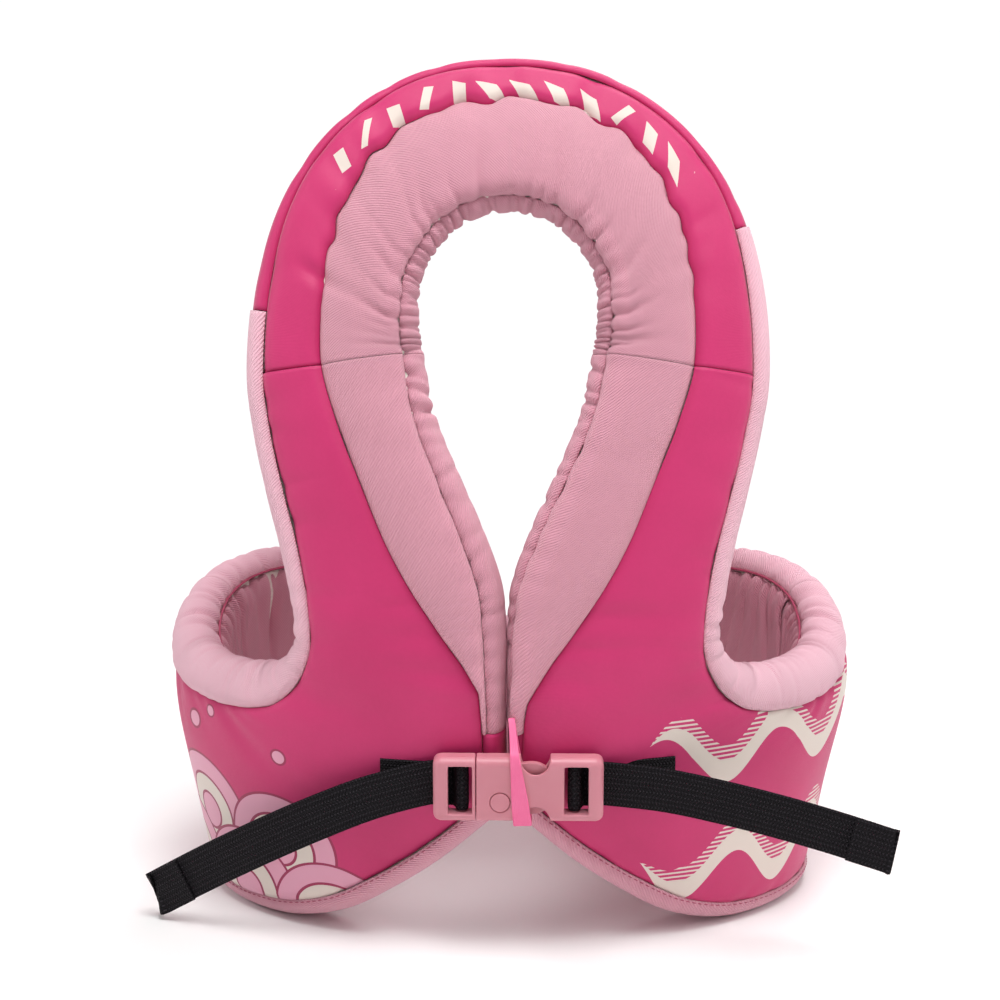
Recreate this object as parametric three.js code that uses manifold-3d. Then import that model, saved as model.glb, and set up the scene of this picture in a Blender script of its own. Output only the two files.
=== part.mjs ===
// A child's foam swim vest: a horseshoe neck collar runs down into two front halves, which wrap
// round the chest into a back band, and two shoulder straps tie the collar to that band behind.
// The halves meet at the centre front in a side-release buckle on 25 mm webbing.
// Millimetres, +Z up, +X to the viewer's right, the front faces -Y, the hem rests on z = 0.
import * as THREE from "three";
import { mergeVertices } from "three/addons/utils/BufferGeometryUtils.js";
import Module from "manifold-3d";

const wasm = await Module();
wasm.setup();

// ---- Driving dimensions: the body form that the vest is laid on ----
const CHEST_HALF_WIDTH = 180; // half width of the foam's middle surface at the chest
const HEM_HALF_WIDTH = 160; // the same at the hem
const CHEST_HALF_DEPTH = 104; // half depth, front to back, at the chest
const HEM_HALF_DEPTH = 96; // the same at the hem
const COLLAR_HALF_DEPTH = 52; // half depth of the form at the top of the collar
const FLARE_HEIGHT = 150; // the hem's width has grown to the chest's by this height
const LEAN_START = 140; // the front leans back from this height
const LEAN_RADIUS = 520; // radius of that lean, seen from the side
const NECKING_START = 170; // the form's depth shrinks towards the collar from here
const NECKING_HEIGHT = 290; // and is down to the collar's depth this much higher

// ---- Driving dimensions: foam and cloth ----
const FOAM_THICKNESS = 28;
const STRAP_FOAM_THICKNESS = 18;
const CLOTH_THICKNESS = 1.2;
const CLEARANCE = 0.5; // between cloth and foam, and between pieces that touch
const SEAM_GAP = 0.6; // between neighbouring cloth panels and foam blocks
const CENTRE_FRONT_GAP = 1.6; // between the two halves where they meet

// ---- Driving dimensions: webbing, buckle and keeper band ----
const WEBBING_WIDTH = 25;
const WEBBING_THICKNESS = 1.5;
const LAYER_GAP = 0.6; // between two layers of webbing
const WEBBING_STANDOFF = 1.6; // from the cover to the webbing that is sewn over it
const BUCKLE_Z = 98; // height of the buckle's middle above the hem
const BUCKLE_WIDTH = 36;
const BUCKLE_THICKNESS = 11;
const BUCKLE_WALL = 2.2;
const POCKET_WALL = 2.6; // the housing's top and bottom walls
const BUCKLE_CORNER = 5; // corner radius of the frames
const MALE_LEFT = -39; // left end of the male frame
const JOINT_LINE = -16; // where the male frame meets the housing
const HOUSING_RIGHT = 52.4;
const RIM_WIDTH = 8; // the frames' outer rims
const SLOT_CLEARANCE = 1; // at each end of the bar, beside the webbing
const WINDOW_LENGTH = 13;
const BAR_RADIUS = 1.6;
const BAR_INSET = 7.5; // from the rim's inner edge to the middle of the webbing bar
const ARM_REACH = 38; // length of the release arms inside the housing
const ARM_WIDTH = 3.5;
const ARM_PLAY = 0.8; // between the arms and the housing's back wall
const ARM_MIDDLE = 9.75; // from the buckle's middle to the middle of each arm
const ARM_BULGE = 3.1; // how far the finger pads stand out from the arms
const ARM_TIP = 3; // length of the arms' rounded tips
const PAD_REACH = { start: 14, rise: 9, end: 2 }; // the finger pads' ends, from the scoop's middle
const TONGUE_LENGTH = 32; // the male frame's guide tongue
const TONGUE_HALF_WIDTH = 4;
const SCOOP_X = 16; // middle of the finger scoops in the housing's edges
const SCOOP_LENGTH = 16;
const SCOOP_DEPTH = 9;
const BUTTON_X = -3;
const BUTTON_DROP = 6.5; // the button's middle below the buckle's
const BUTTON_RADIUS = 5.5;
const BUTTON_LIP = 0.8; // the lip that keeps the button in its hole
const LIP_THICKNESS = 0.6;
const LIP_PLAY = 0.2; // between the lip and the housing's front wall
const BUTTON_PROUD = 0.3; // the button stands this far out of the housing
const SPRING_HEIGHT = 1.2; // the ring under the button
const SPRING_WALL = 1.3;
const SPRING_PLAY = 0.1;
const SEWN_START = 2; // from the frame's end to the last of the webbing's seam
const SEWN_LENGTH = { left: 25, right: 34 }; // webbing sewn to the front beside each frame
const TAIL_REACH = { left: 197, right: 204 }; // from the middle to the tails' ends
const TAIL_DROP = { left: 84, right: 26 }; // how far the tails' ends hang below the buckle
const TAIL_FOLD_LENGTH = 22; // the doubled hem at each tail's end
const KEEPER_X = 3; // the elastic keeper loop hangs from the foot of the neck opening here
const KEEPER_SLANT = 6; // and leans this far to the right on its way round the housing
const KEEPER_WIDTH = 7;
const KEEPER_THICKNESS = 1;
const KEEPER_TOP = 36; // above the buckle's middle
const KEEPER_TOP_TURN = 1.6; // the loop's top and foot turn round over these depths
const KEEPER_FOOT_TURN = 1;

// ---- Driving dimensions: shoulder straps ----
const STRAP_HALF_WIDTH = 27;
const STRAP_EDGE = 8; // how far the strap's padded edges are rounded

// ---- Colours and finishes ----
const finish = (color, roughness, metalness = 0) => ({ color, roughness, metalness });
const HOT_PINK = finish(0xdf3579, 0.55);
const LIGHT_PINK = finish(0xe9a9bb, 0.85);
const FOAM = finish(0xf4f1ea, 0.95);
const BLACK_WEBBING = finish(0x201c1f, 0.7);
const PINK_PLASTIC = finish(0xe3949f, 0.4);
const PINK_RUBBER = finish(0xf985ae, 0.5);
const STEEL = finish(0xb9bcc0, 0.35, 1);

const vest = new THREE.Group();

// ---- Small helpers ----
const V = (x, y, z) => new THREE.Vector3(x, y, z);
const clamp01 = (t) => Math.min(1, Math.max(0, t));
const smooth = (t) => clamp01(t) ** 2 * (3 - 2 * clamp01(t));
const range = (n) => Array.from({ length: n }, (_, i) => i);
const curve2 = (points) => new THREE.SplineCurve(points.map(([x, y]) => new THREE.Vector2(x, y)));
const at = (curve, station) => curve.getPoint(clamp01(station / LAST_STATION));

function addPiece(name, geometry, look) {
  const mesh = new THREE.Mesh(geometry, new THREE.MeshStandardMaterial(look));
  mesh.name = name;
  vest.add(mesh);
  return mesh;
}

function solidOf(geometry) {
  const bare = geometry.clone();
  bare.deleteAttribute("normal");
  bare.deleteAttribute("uv");
  const merged = mergeVertices(bare, 1e-4);
  return new wasm.Manifold(
    new wasm.Mesh({
      numProp: 3,
      vertProperties: merged.attributes.position.array,
      triVerts: new Uint32Array(merged.index.array),
    }),
  );
}

function geometryOf(solid) {
  const mesh = solid.getMesh();
  return new THREE.BufferGeometry()
    .setAttribute("position", new THREE.BufferAttribute(Float32Array.from(mesh.vertProperties), 3))
    .setIndex(new THREE.BufferAttribute(Uint32Array.from(mesh.triVerts), 1));
}

const join = (...shapes) => geometryOf(shapes.map(solidOf).reduce((a, b) => a.add(b)));
const cut = (shape, ...tools) =>
  geometryOf(tools.map(solidOf).reduce((a, b) => a.subtract(b), solidOf(shape)));

// The triangles that close an end ring whose outline is known in its own plane.
function capOf(outline) {
  const ringWay = Math.sign(THREE.ShapeUtils.area(outline));
  return THREE.ShapeUtils.triangulateShape(outline.slice(), []).map(([a, b, c]) => {
    const way = Math.sign(THREE.ShapeUtils.area([outline[a], outline[b], outline[c]]));
    return way === ringWay ? [a, b, c] : [a, c, b];
  });
}

// The triangles that close an end ring made of n points along one face and n back along another.
const stripCap = (n) =>
  range(n - 1).flatMap((i) => {
    const back = 2 * n - 1 - i;
    return [
      [i, i + 1, back - 1],
      [i, back - 1, back],
    ];
  });

// A closed solid through a row of closed rings that all have the same number of points. The ends
// are capped, or the last ring joins the first when no cap is given. Each quad between two rings
// is split along one diagonal, and from point number turnFrom on along the other one.
function loft(rings, cap, turnFrom = Infinity) {
  const count = rings[0].length;
  const index = [];
  for (const i of range(cap ? rings.length - 1 : rings.length)) {
    const here = i * count;
    const next = ((i + 1) % rings.length) * count;
    for (const j of range(count)) {
      const k = (j + 1) % count;
      if (j < turnFrom) index.push(here + j, here + k, next + k, here + j, next + k, next + j);
      else index.push(here + j, here + k, next + j, here + k, next + k, next + j);
    }
  }
  const end = (rings.length - 1) * count;
  for (const [a, b, c] of cap ?? []) index.push(a, c, b, end + a, end + b, end + c);
  const geometry = new THREE.BufferGeometry().setFromPoints(rings.flat());
  geometry.setIndex(index);
  if (solidOf(geometry).volume() < 0) {
    const turned = [];
    for (let i = 0; i < index.length; i += 3) turned.push(index[i], index[i + 2], index[i + 1]);
    geometry.setIndex(turned);
  }
  return geometry;
}

// ---- The body form ----
// theta is the angle round the body from the centre front in degrees, negative to the left, and
// z the height. The form is an oval whose front line leans back on an arc above LEAN_START.
const halfWidth = (z) =>
  HEM_HALF_WIDTH + (CHEST_HALF_WIDTH - HEM_HALF_WIDTH) * smooth(z / FLARE_HEIGHT);
const lowerDepth = (z) =>
  HEM_HALF_DEPTH + (CHEST_HALF_DEPTH - HEM_HALF_DEPTH) * smooth(z / FLARE_HEIGHT);
const halfDepth = (z) =>
  lowerDepth(z) -
  (CHEST_HALF_DEPTH - COLLAR_HALF_DEPTH) * smooth((z - NECKING_START) / NECKING_HEIGHT);
function frontLine(z) {
  const rise = THREE.MathUtils.clamp((z - LEAN_START) / LEAN_RADIUS, 0, 0.95);
  return -lowerDepth(z) + LEAN_RADIUS * (1 - Math.sqrt(1 - rise * rise));
}
function onForm(theta, z) {
  const angle = THREE.MathUtils.degToRad(theta);
  const y = frontLine(z) + halfDepth(z) * (1 - Math.cos(angle));
  return V(halfWidth(z) * Math.sin(angle), y, z);
}
const STEP = 0.05;
const alongTheta = (theta, z) =>
  onForm(theta + STEP, z).sub(onForm(theta - STEP, z)).divideScalar(2 * STEP);
const alongHeight = (theta, z) =>
  onForm(theta, z + STEP).sub(onForm(theta, z - STEP)).divideScalar(2 * STEP);
const normalAt = (theta, z) => alongTheta(theta, z).cross(alongHeight(theta, z)).normalize();
const offForm = (theta, z, height) => onForm(theta, z).addScaledVector(normalAt(theta, z), height);

// ---- The pattern of one half ----
// The half vest is a band that starts at the top of the collar, runs down the front, fans out
// round the lower front corner and goes on round the side to the centre back. Each station is a
// line across it, from the inner edge (neck, centre front, hem) to the outer edge (collar rim,
// armhole, top of the back band). Points are [theta, z] on the form, for the left half.
const CENTRE_THETA = -THREE.MathUtils.radToDeg(
  (CENTRE_FRONT_GAP / 2 + CLEARANCE + CLOTH_THICKNESS) / CHEST_HALF_WIDTH,
);
const INNER_EDGE = [
  [0, 398.5], [-7.5, 393], [-12.5, 380], [-15.6, 364], [-16.3, 347], [-16, 333],
  [-15.3, 322], [-13.2, 292], [-9.3, 263], [-4.8, 232], [-1.6, 204], [CENTRE_THETA, 180],
  [CENTRE_THETA, 155], [CENTRE_THETA, 128], [CENTRE_THETA, 100], [-1.8, 80],
  [-6.5, 65], [-14, 46], [-23, 28], [-33, 12], [-45, 2.5], [-58, 0],
  [-73, 0], [-90, 0], [-105, 0], [-120, 0], [-135, 0], [-150, 0], [-165, 0], [-180, 0],
];
const OUTER_EDGE = [
  [0, 463], [-13, 458], [-24.5, 442], [-34, 418], [-40.5, 388], [-44, 350],
  [-44.8, 308], [-43, 280], [-40, 250], [-37, 222], [-35, 195], [-34.3, 170],
  [-35.6, 154], [-38.6, 141], [-42.5, 132], [-46.5, 128], [-51, 126], [-56, 125],
  [-62, 125], [-69, 126], [-77, 128], [-86, 134], [-96, 142], [-106, 150],
  [-117, 155], [-128, 156], [-139, 153], [-151, 140], [-165, 118], [-180, 102],
];
const LAST_STATION = INNER_EDGE.length - 1;
const innerEdge = curve2(INNER_EDGE);
const outerEdge = curve2(OUTER_EDGE);
// Where the light facing ends and the bright cover begins, as a share of the width.
const FACING_SHARE = curve2(
  [0.73, 0.73, 0.72, 0.65, 0.62, 0.6, 0.585, 0.54, 0.51, 0.49, 0.42, 0.3, 0.15, 0.02]
    .concat(Array(LAST_STATION - 13).fill(0))
    .map((share, station) => [station, share]),
);
const SHOULDER_STATION = 6; // the seam across each shoulder
const TIP_STATION = 12; // the facing runs out here, at the foot of the neck opening
const SIDE_STATION = 23; // the seam under each arm
const ARMHOLE_TOP_STATION = { left: 5.25, right: 4.2 }; // where the armhole gussets begin
// How far the padded edges are rounded beyond or inside their seams.
const neckRound = (station) => 12 - 4.5 * smooth((station - 9) / 5);
const rimRound = (station) => 6 + 5 * smooth((station - 3) / 3) + 8 * smooth((station - 11) / 4);

const FRONT_COLUMNS = 5;
const LINING_COLUMNS = 3;
const EDGE_COLUMNS = 3;
const EDGE_FLAT = Math.sin(Math.PI / EDGE_COLUMNS); // puts the middle facet on the true edge

// The way outwards across an edge, level with the form, as a step in [theta, z] per millimetre.
function acrossEdge(curve, station, side) {
  const a = at(curve, station - 0.2);
  const b = at(curve, station + 0.2);
  const here = at(curve, station);
  const wide = alongTheta(here.x, here.y).length();
  const tall = alongHeight(here.x, here.y).length();
  const run = new THREE.Vector2((b.x - a.x) * wide, (b.y - a.y) * tall).normalize();
  return new THREE.Vector2((side * run.y) / wide, (-side * run.x) / tall);
}

// A point of the cross-section at a station. q runs round it: 0 to 1 the front face from the
// neck edge to the rim, 1 to 2 the rim, 2 to 3 the lining side, 3 to 4 the neck edge. grow is
// the offset outwards from the foam's surface.
function sectionPoint(station, q, grow) {
  const inner = at(innerEdge, station);
  const outer = at(outerEdge, station);
  const inward = acrossEdge(innerEdge, station, 1);
  const outward = acrossEdge(outerEdge, station, 1);
  const neck = neckRound(station);
  const rim = rimRound(station);
  const half = FOAM_THICKNESS / 2 + grow;
  const start = inner.clone().addScaledVector(inward, neck);
  const side = Math.floor(q) % 4;
  const part = q - Math.floor(q);
  const turn = part * Math.PI;
  if (side === 0 || side === 2) {
    const share = side === 0 ? part : 1 - part;
    const here = start.lerp(outer, share);
    return offForm(here.x, here.y, side === 0 ? half : -half);
  }
  const reach = (side === 1 ? rim : neck) / EDGE_FLAT + grow;
  const base = side === 1 ? outer.clone() : start;
  const way = side === 1 ? outward : inward.clone().negate();
  const here = base.addScaledVector(way, reach * Math.sin(turn));
  return offForm(here.x, here.y, (side === 1 ? half : -half) * Math.cos(turn));
}

// The facing's seam as a value of q at a station.
function seamQ(station) {
  const inner = at(innerEdge, station);
  const outer = at(outerEdge, station);
  const width = onForm(inner.x, inner.y).distanceTo(onForm(outer.x, outer.y));
  const share = FACING_SHARE.getPoint(clamp01(station / LAST_STATION)).y;
  const neck = neckRound(station);
  return THREE.MathUtils.clamp((share * width - neck) / (width - neck), 0.02, 0.9);
}

const FACING_COLUMNS = 2;
// The columns of the whole cross-section, with the facing's seam on one of them.
function columnsAt(station) {
  const seam = seamQ(station);
  const rest = FRONT_COLUMNS - FACING_COLUMNS;
  return [
    ...range(FACING_COLUMNS).map((i) => (seam * i) / FACING_COLUMNS),
    ...range(rest).map((i) => seam + ((1 - seam) * i) / rest),
    ...range(EDGE_COLUMNS).map((i) => 1 + i / EDGE_COLUMNS),
    ...range(LINING_COLUMNS).map((i) => 2 + i / LINING_COLUMNS),
    ...range(EDGE_COLUMNS).map((i) => 3 + i / EDGE_COLUMNS),
  ];
}
const SEAM_COLUMN = FACING_COLUMNS;
const RIM_COLUMN = FRONT_COLUMNS;
const LINING_COLUMN = RIM_COLUMN + EDGE_COLUMNS;
const NECK_COLUMN = LINING_COLUMN + LINING_COLUMNS;
const END_COLUMN = NECK_COLUMN + EDGE_COLUMNS;

// Stations from one seam to the next, pulled back from both by half the seam gap. Negative
// stations are the left half's and positive ones the right half's.
const SEAM_PULL = 0.02;
function stationsBetween(from, to) {
  const inside = range(Math.floor(to) - Math.ceil(from) + 1)
    .map((i) => Math.ceil(from) + i)
    .filter((s) => s > from + 0.1 && s < to - 0.1);
  return [from + SEAM_PULL, ...inside, to - SEAM_PULL];
}
const mirrored = (point, left) => (left ? point : V(-point.x, point.y, point.z));

function foamRing(station, grow = 0) {
  const columns = columnsAt(Math.abs(station));
  return columns.map((q) => mirrored(sectionPoint(Math.abs(station), q, grow), station <= 0));
}
// The triangles that close a foam block's end: a zip between the points of its front face and
// those of its lining side, and a fan at each rounded edge.
function zipCap() {
  const triangles = [];
  let front = 0;
  let back = 0;
  while (front < FRONT_COLUMNS || back < LINING_COLUMNS) {
    const lining = NECK_COLUMN - back;
    if ((front + 1) / FRONT_COLUMNS <= (back + 1) / LINING_COLUMNS) {
      triangles.push([front, front + 1, lining]);
      front += 1;
    } else {
      triangles.push([front, lining - 1, lining]);
      back += 1;
    }
  }
  for (const i of range(EDGE_COLUMNS - 1)) {
    triangles.push([RIM_COLUMN, RIM_COLUMN + i + 1, RIM_COLUMN + i + 2]);
    triangles.push([NECK_COLUMN + i, NECK_COLUMN + i + 1, 0]);
  }
  return triangles;
}
const foamCap = zipCap();
const foamBlock = (stations, grow = 0) => loft(stations.map((s) => foamRing(s, grow)), foamCap);

// A cloth panel over the foam, between two columns of the cross-section.
function clothPanel(stations, fromColumn, toColumn, ends = [SEAM_GAP, SEAM_GAP]) {
  const inside = CLEARANCE;
  const outside = CLEARANCE + CLOTH_THICKNESS;
  const rings = stations.map((station) => {
    const columns = columnsAt(Math.abs(station)).concat(4);
    const picked = columns.slice(fromColumn, toColumn + 1);
    const place = (q, grow) =>
      mirrored(sectionPoint(Math.abs(station), q, grow), station <= 0);
    const trim = (i, j, gap) => {
      const length = place(picked[i], outside).distanceTo(place(picked[j], outside));
      return picked[i] + ((picked[j] - picked[i]) * gap) / 2 / length;
    };
    const last = picked.length - 1;
    const trimmed = [trim(0, 1, ends[0]), ...picked.slice(1, -1), trim(last, last - 1, ends[1])];
    const under = trimmed.map((q) => place(q, inside));
    const over = trimmed.map((q) => place(q, outside));
    return [...under, ...over.reverse()];
  });
  // The outer face is split along the same diagonals as the inner one.
  const columns = toColumn - fromColumn + 1;
  return loft(rings, stripCap(columns), columns);
}

// ---- Foam and cloth ----
const collarStations = stationsBetween(-SHOULDER_STATION, SHOULDER_STATION);
const rimStations = stationsBetween(-ARMHOLE_TOP_STATION.left, ARMHOLE_TOP_STATION.right);
const backHalf = stationsBetween(SIDE_STATION, LAST_STATION + SEAM_PULL);
const backRow = [...backHalf.map((s) => -s), ...backHalf.slice(0, -1).reverse()];
// Both halves run from left to right as the collar does, so that their facets match its own.
const frontStations = (from, to, left) =>
  left ? stationsBetween(from, to).map((s) => -s).reverse() : stationsBetween(from, to);

addPiece("collar_foam", foamBlock(collarStations), FOAM);
addPiece("collar_facing", clothPanel(collarStations, 0, SEAM_COLUMN), LIGHT_PINK);
addPiece("collar_cover", clothPanel(collarStations, SEAM_COLUMN, RIM_COLUMN), HOT_PINK);
addPiece("collar_rim_cover", clothPanel(rimStations, RIM_COLUMN, LINING_COLUMN), HOT_PINK);
addPiece("collar_lining", clothPanel(collarStations, LINING_COLUMN, NECK_COLUMN), LIGHT_PINK);
addPiece("collar_neck_gusset", clothPanel(collarStations, NECK_COLUMN, END_COLUMN), LIGHT_PINK);

for (const side of ["left", "right"]) {
  const left = side === "left";
  const whole = frontStations(SHOULDER_STATION, SIDE_STATION, left);
  const upper = frontStations(SHOULDER_STATION, TIP_STATION, left);
  const lower = frontStations(TIP_STATION, SIDE_STATION, left);
  const armhole = frontStations(ARMHOLE_TOP_STATION[side], SIDE_STATION, left);
  addPiece(`${side}_front_foam`, foamBlock(whole), FOAM);
  addPiece(`${side}_front_cover`, clothPanel(whole, SEAM_COLUMN, RIM_COLUMN), HOT_PINK);
  addPiece(`${side}_front_facing`, clothPanel(upper, 0, SEAM_COLUMN), LIGHT_PINK);
  addPiece(`${side}_armhole_gusset`, clothPanel(armhole, RIM_COLUMN, LINING_COLUMN), LIGHT_PINK);
  addPiece(`${side}_front_lining`, clothPanel(whole, LINING_COLUMN, NECK_COLUMN), LIGHT_PINK);
  addPiece(`${side}_neck_gusset`, clothPanel(upper, NECK_COLUMN, END_COLUMN), LIGHT_PINK);
  addPiece(`${side}_hem_binding`, clothPanel(lower, NECK_COLUMN, END_COLUMN), LIGHT_PINK);
}

addPiece("back_foam", foamBlock(backRow), FOAM);
addPiece("back_cover", clothPanel(backRow, SEAM_COLUMN, RIM_COLUMN), HOT_PINK);
addPiece("back_top_gusset", clothPanel(backRow, RIM_COLUMN, LINING_COLUMN), LIGHT_PINK);
addPiece("back_lining", clothPanel(backRow, LINING_COLUMN, NECK_COLUMN), LIGHT_PINK);
addPiece("back_hem_binding", clothPanel(backRow, NECK_COLUMN, END_COLUMN), LIGHT_PINK);

// ---- Shoulder straps ----
// Each strap leaves the rear face of the collar's leg, goes over the shoulder and comes down to
// the top of the back band. Both its ends are cut to the faces that they are sewn to.
const STRAP_TOP = 352; // height of the strap's upper end
const STRAP_FOOT = 118; // and of its lower end
const STRAP_ROOT_DEPTH = 5; // behind the middle of the collar's foam
// Each point is [share of the chest's half width, share of the way from collar to back, height].
const STRAP_PATH = [
  [0.572, 0, STRAP_TOP], [0.578, 0.237, 358], [0.572, 0.496, 355], [0.556, 0.74, 336],
  [0.539, 0.924, 298], [0.522, 1, 250], [0.511, 1.015, 200], [0.506, 1.008, 155],
  [0.503, 1, STRAP_FOOT],
];
const strapTheta = THREE.MathUtils.radToDeg(Math.asin(STRAP_PATH[0][0]));
const strapTopY = onForm(strapTheta, STRAP_TOP).y + STRAP_ROOT_DEPTH;
const strapFootY = onForm(180 - strapTheta, STRAP_FOOT).y;
const strapPoint = ([share, way, height]) =>
  V(-share * CHEST_HALF_WIDTH, strapTopY + way * (strapFootY - strapTopY), height);
const strapCurve = new THREE.CatmullRomCurve3(STRAP_PATH.map(strapPoint));
const STRAP_STEPS = 12;
const STRAP_TWIST = 0.32; // the straps turn outwards this much to lie along the back
function strapRing(t, grow) {
  const centre = strapCurve.getPointAt(t);
  const tangent = strapCurve.getTangentAt(t);
  const across = V(-1, -STRAP_TWIST * smooth(t), 0);
  across.addScaledVector(tangent, -across.dot(tangent)).normalize();
  const up = across.clone().cross(tangent);
  const half = STRAP_FOAM_THICKNESS / 2 + grow;
  const flat = STRAP_HALF_WIDTH - STRAP_EDGE;
  const edge = STRAP_EDGE / EDGE_FLAT + grow;
  const place = (side, turn) =>
    centre
      .clone()
      .addScaledVector(across, side * (flat + edge * Math.sin(turn)))
      .addScaledVector(up, side * half * Math.cos(turn));
  const turns = range(EDGE_COLUMNS + 1).map((i) => (Math.PI * i) / EDGE_COLUMNS);
  return [...turns.map((turn) => place(1, turn)), ...turns.map((turn) => place(-1, turn))];
}
const strapOutline = range(2).flatMap((half) =>
  range(EDGE_COLUMNS + 1).map((i) => {
    const turn = Math.PI * (half + i / EDGE_COLUMNS);
    return new THREE.Vector2(Math.sin(turn), Math.cos(turn) + 0.01 * half);
  }),
);
function strapSolid(grow) {
  const rings = range(STRAP_STEPS + 1).map((i) => strapRing(i / STRAP_STEPS, grow));
  return loft(rings, capOf(strapOutline));
}
const STRAP_CLEARED_STATION = 9; // the strap is cut clear of the leg down to here
const overCloth = 4 * CLEARANCE + CLOTH_THICKNESS;
const strapTools = [
  foamBlock(stationsBetween(-STRAP_CLEARED_STATION, SHOULDER_STATION), overCloth),
  foamBlock(backRow, overCloth),
];
const strapFoam = cut(strapSolid(0), ...strapTools);
const strapCover = cut(strapSolid(CLEARANCE + CLOTH_THICKNESS), strapSolid(CLEARANCE), ...strapTools);
const flipped = (geometry) => {
  const copy = geometry.clone().scale(-1, 1, 1);
  const index = copy.index.array;
  for (let i = 0; i < index.length; i += 3) [index[i], index[i + 1]] = [index[i + 1], index[i]];
  return copy;
};
for (const side of ["left", "right"]) {
  const placed = (geometry) => (side === "left" ? geometry : flipped(geometry));
  addPiece(`${side}_strap_foam`, placed(strapFoam), FOAM);
  addPiece(`${side}_strap_cover`, placed(strapCover), HOT_PINK);
}

// ---- Layers in front of the vest at the buckle, from the cloth outwards ----
const clothFace = FOAM_THICKNESS / 2 + CLEARANCE + CLOTH_THICKNESS;
const webbingLift = clothFace + WEBBING_STANDOFF + WEBBING_THICKNESS / 2;
const innerLayerY = offForm(0, BUCKLE_Z, webbingLift).y;
const outerLayerY = innerLayerY - WEBBING_THICKNESS - LAYER_GAP;
const buckleBack = outerLayerY - WEBBING_THICKNESS / 2 - CLEARANCE;
const buckleFront = buckleBack - BUCKLE_THICKNESS;
const bendRadius = BAR_RADIUS + LAYER_GAP + WEBBING_THICKNESS / 2;
const barY = buckleBack - BAR_RADIUS - WEBBING_THICKNESS - 2 * LAYER_GAP;
const halfHeight = BUCKLE_WIDTH / 2;
const slotHalf = WEBBING_WIDTH / 2 + SLOT_CLEARANCE;
const leftBarX = MALE_LEFT + RIM_WIDTH + BAR_INSET;
const rightBarX = HOUSING_RIGHT - RIM_WIDTH - BAR_INSET;

// ---- Webbing ----
// A flat strap along a row of points, its width as near to the given direction as the path lets.
function ribbon(points, width, thickness, wide = V(0, 0, 1), closed = false) {
  const last = points.length - 1;
  const rings = points.map((point, i) => {
    const before = points[i > 0 ? i - 1 : closed ? last : 0];
    const after = points[i < last ? i + 1 : closed ? 0 : last];
    const tangent = after.clone().sub(before).normalize();
    const across = wide.clone().addScaledVector(tangent, -wide.dot(tangent)).normalize();
    const up = across.clone().cross(tangent);
    const corner = (a, b) =>
      point
        .clone()
        .addScaledVector(across, (a * width) / 2)
        .addScaledVector(up, (b * thickness) / 2);
    return [corner(-1, -1), corner(1, -1), corner(1, 1), corner(-1, 1)];
  });
  return loft(rings, closed ? null : stripCap(2));
}

// Where the webbing bends round the bar, in degrees, and how many bend radii from the bar its
// inner layer comes in and its outer layer leaves and settles.
const BAR_TURNS = [20, 50, 80, 110, 140, 170, 225, 270];
const BAR_LEADS = { arrive: 0.8, leave: 1.1, settle: 1.5 };

// The fixed webbing of one side: sewn flat to the front, behind the frame's rim, round the bar
// and back behind the rim. way is -1 on the left and 1 on the right.
function fixedWebbing(way, rimEnd, barX, sewnLength) {
  const sewnTheta = (x) =>
    THREE.MathUtils.radToDeg(Math.asin(x / halfWidth(BUCKLE_Z)));
  const sewn = range(4).map((i) => {
    const x = rimEnd + way * (SEWN_START + sewnLength * (1 - i / 3));
    return offForm(sewnTheta(x), BUCKLE_Z, webbingLift);
  });
  const aroundBar = (degrees) => {
    const angle = THREE.MathUtils.degToRad(degrees);
    const x = barX - way * bendRadius * Math.sin(angle);
    return V(x, barY + bendRadius * Math.cos(angle), BUCKLE_Z);
  };
  const path = [
    ...sewn,
    V(rimEnd - way * RIM_WIDTH, innerLayerY, BUCKLE_Z),
    V(barX + way * BAR_LEADS.arrive * bendRadius, innerLayerY, BUCKLE_Z),
    ...BAR_TURNS.map(aroundBar),
    V(barX + way * BAR_LEADS.leave * bendRadius, outerLayerY - WEBBING_THICKNESS / 2, BUCKLE_Z),
    V(barX + way * BAR_LEADS.settle * bendRadius, outerLayerY, BUCKLE_Z),
    V(rimEnd - way * LAYER_GAP, outerLayerY, BUCKLE_Z),
  ];
  return ribbon(path, WEBBING_WIDTH, WEBBING_THICKNESS);
}
addPiece(
  "left_webbing",
  fixedWebbing(-1, MALE_LEFT, leftBarX, SEWN_LENGTH.left),
  BLACK_WEBBING,
);
addPiece(
  "right_webbing",
  fixedWebbing(1, HOUSING_RIGHT, rightBarX, SEWN_LENGTH.right),
  BLACK_WEBBING,
);

// The free tails. depth lists the way each one lies in front of the chest, from the rim outwards.
const TAIL_START = 3.6; // from the rim's end to the start of the tail
const FOLD_OVERLAY = 0.9; // the fold's second layer lies this share of a thickness further out
const TAIL_EASE = 1.4; // the tails leave the buckle level and then slope down
const TAIL_DEPTH = { left: [0, 0.5, 6, 16, 30, 47], right: [0, -2, -7, -13, -20, -28] };
function tail(side, way, rimEnd) {
  const start = rimEnd + way * TAIL_START;
  const depths = TAIL_DEPTH[side];
  const last = depths.length - 1;
  const control = depths.map((depth, i) => {
    const share = i / last;
    const x = start + (way * TAIL_REACH[side] - start) * share;
    return V(x, outerLayerY + depth, BUCKLE_Z - TAIL_DROP[side] * share ** TAIL_EASE);
  });
  const curve = new THREE.CatmullRomCurve3(control);
  const points = curve.getSpacedPoints(10);
  const strap = ribbon(points, WEBBING_WIDTH, WEBBING_THICKNESS);
  const length = curve.getLength();
  const fold = [1 - TAIL_FOLD_LENGTH / length, 1].map((t) =>
    curve.getPointAt(t).add(V(0, -FOLD_OVERLAY * WEBBING_THICKNESS, 0)),
  );
  return join(strap, ribbon(fold, WEBBING_WIDTH - CLEARANCE / 2, WEBBING_THICKNESS));
}
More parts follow.
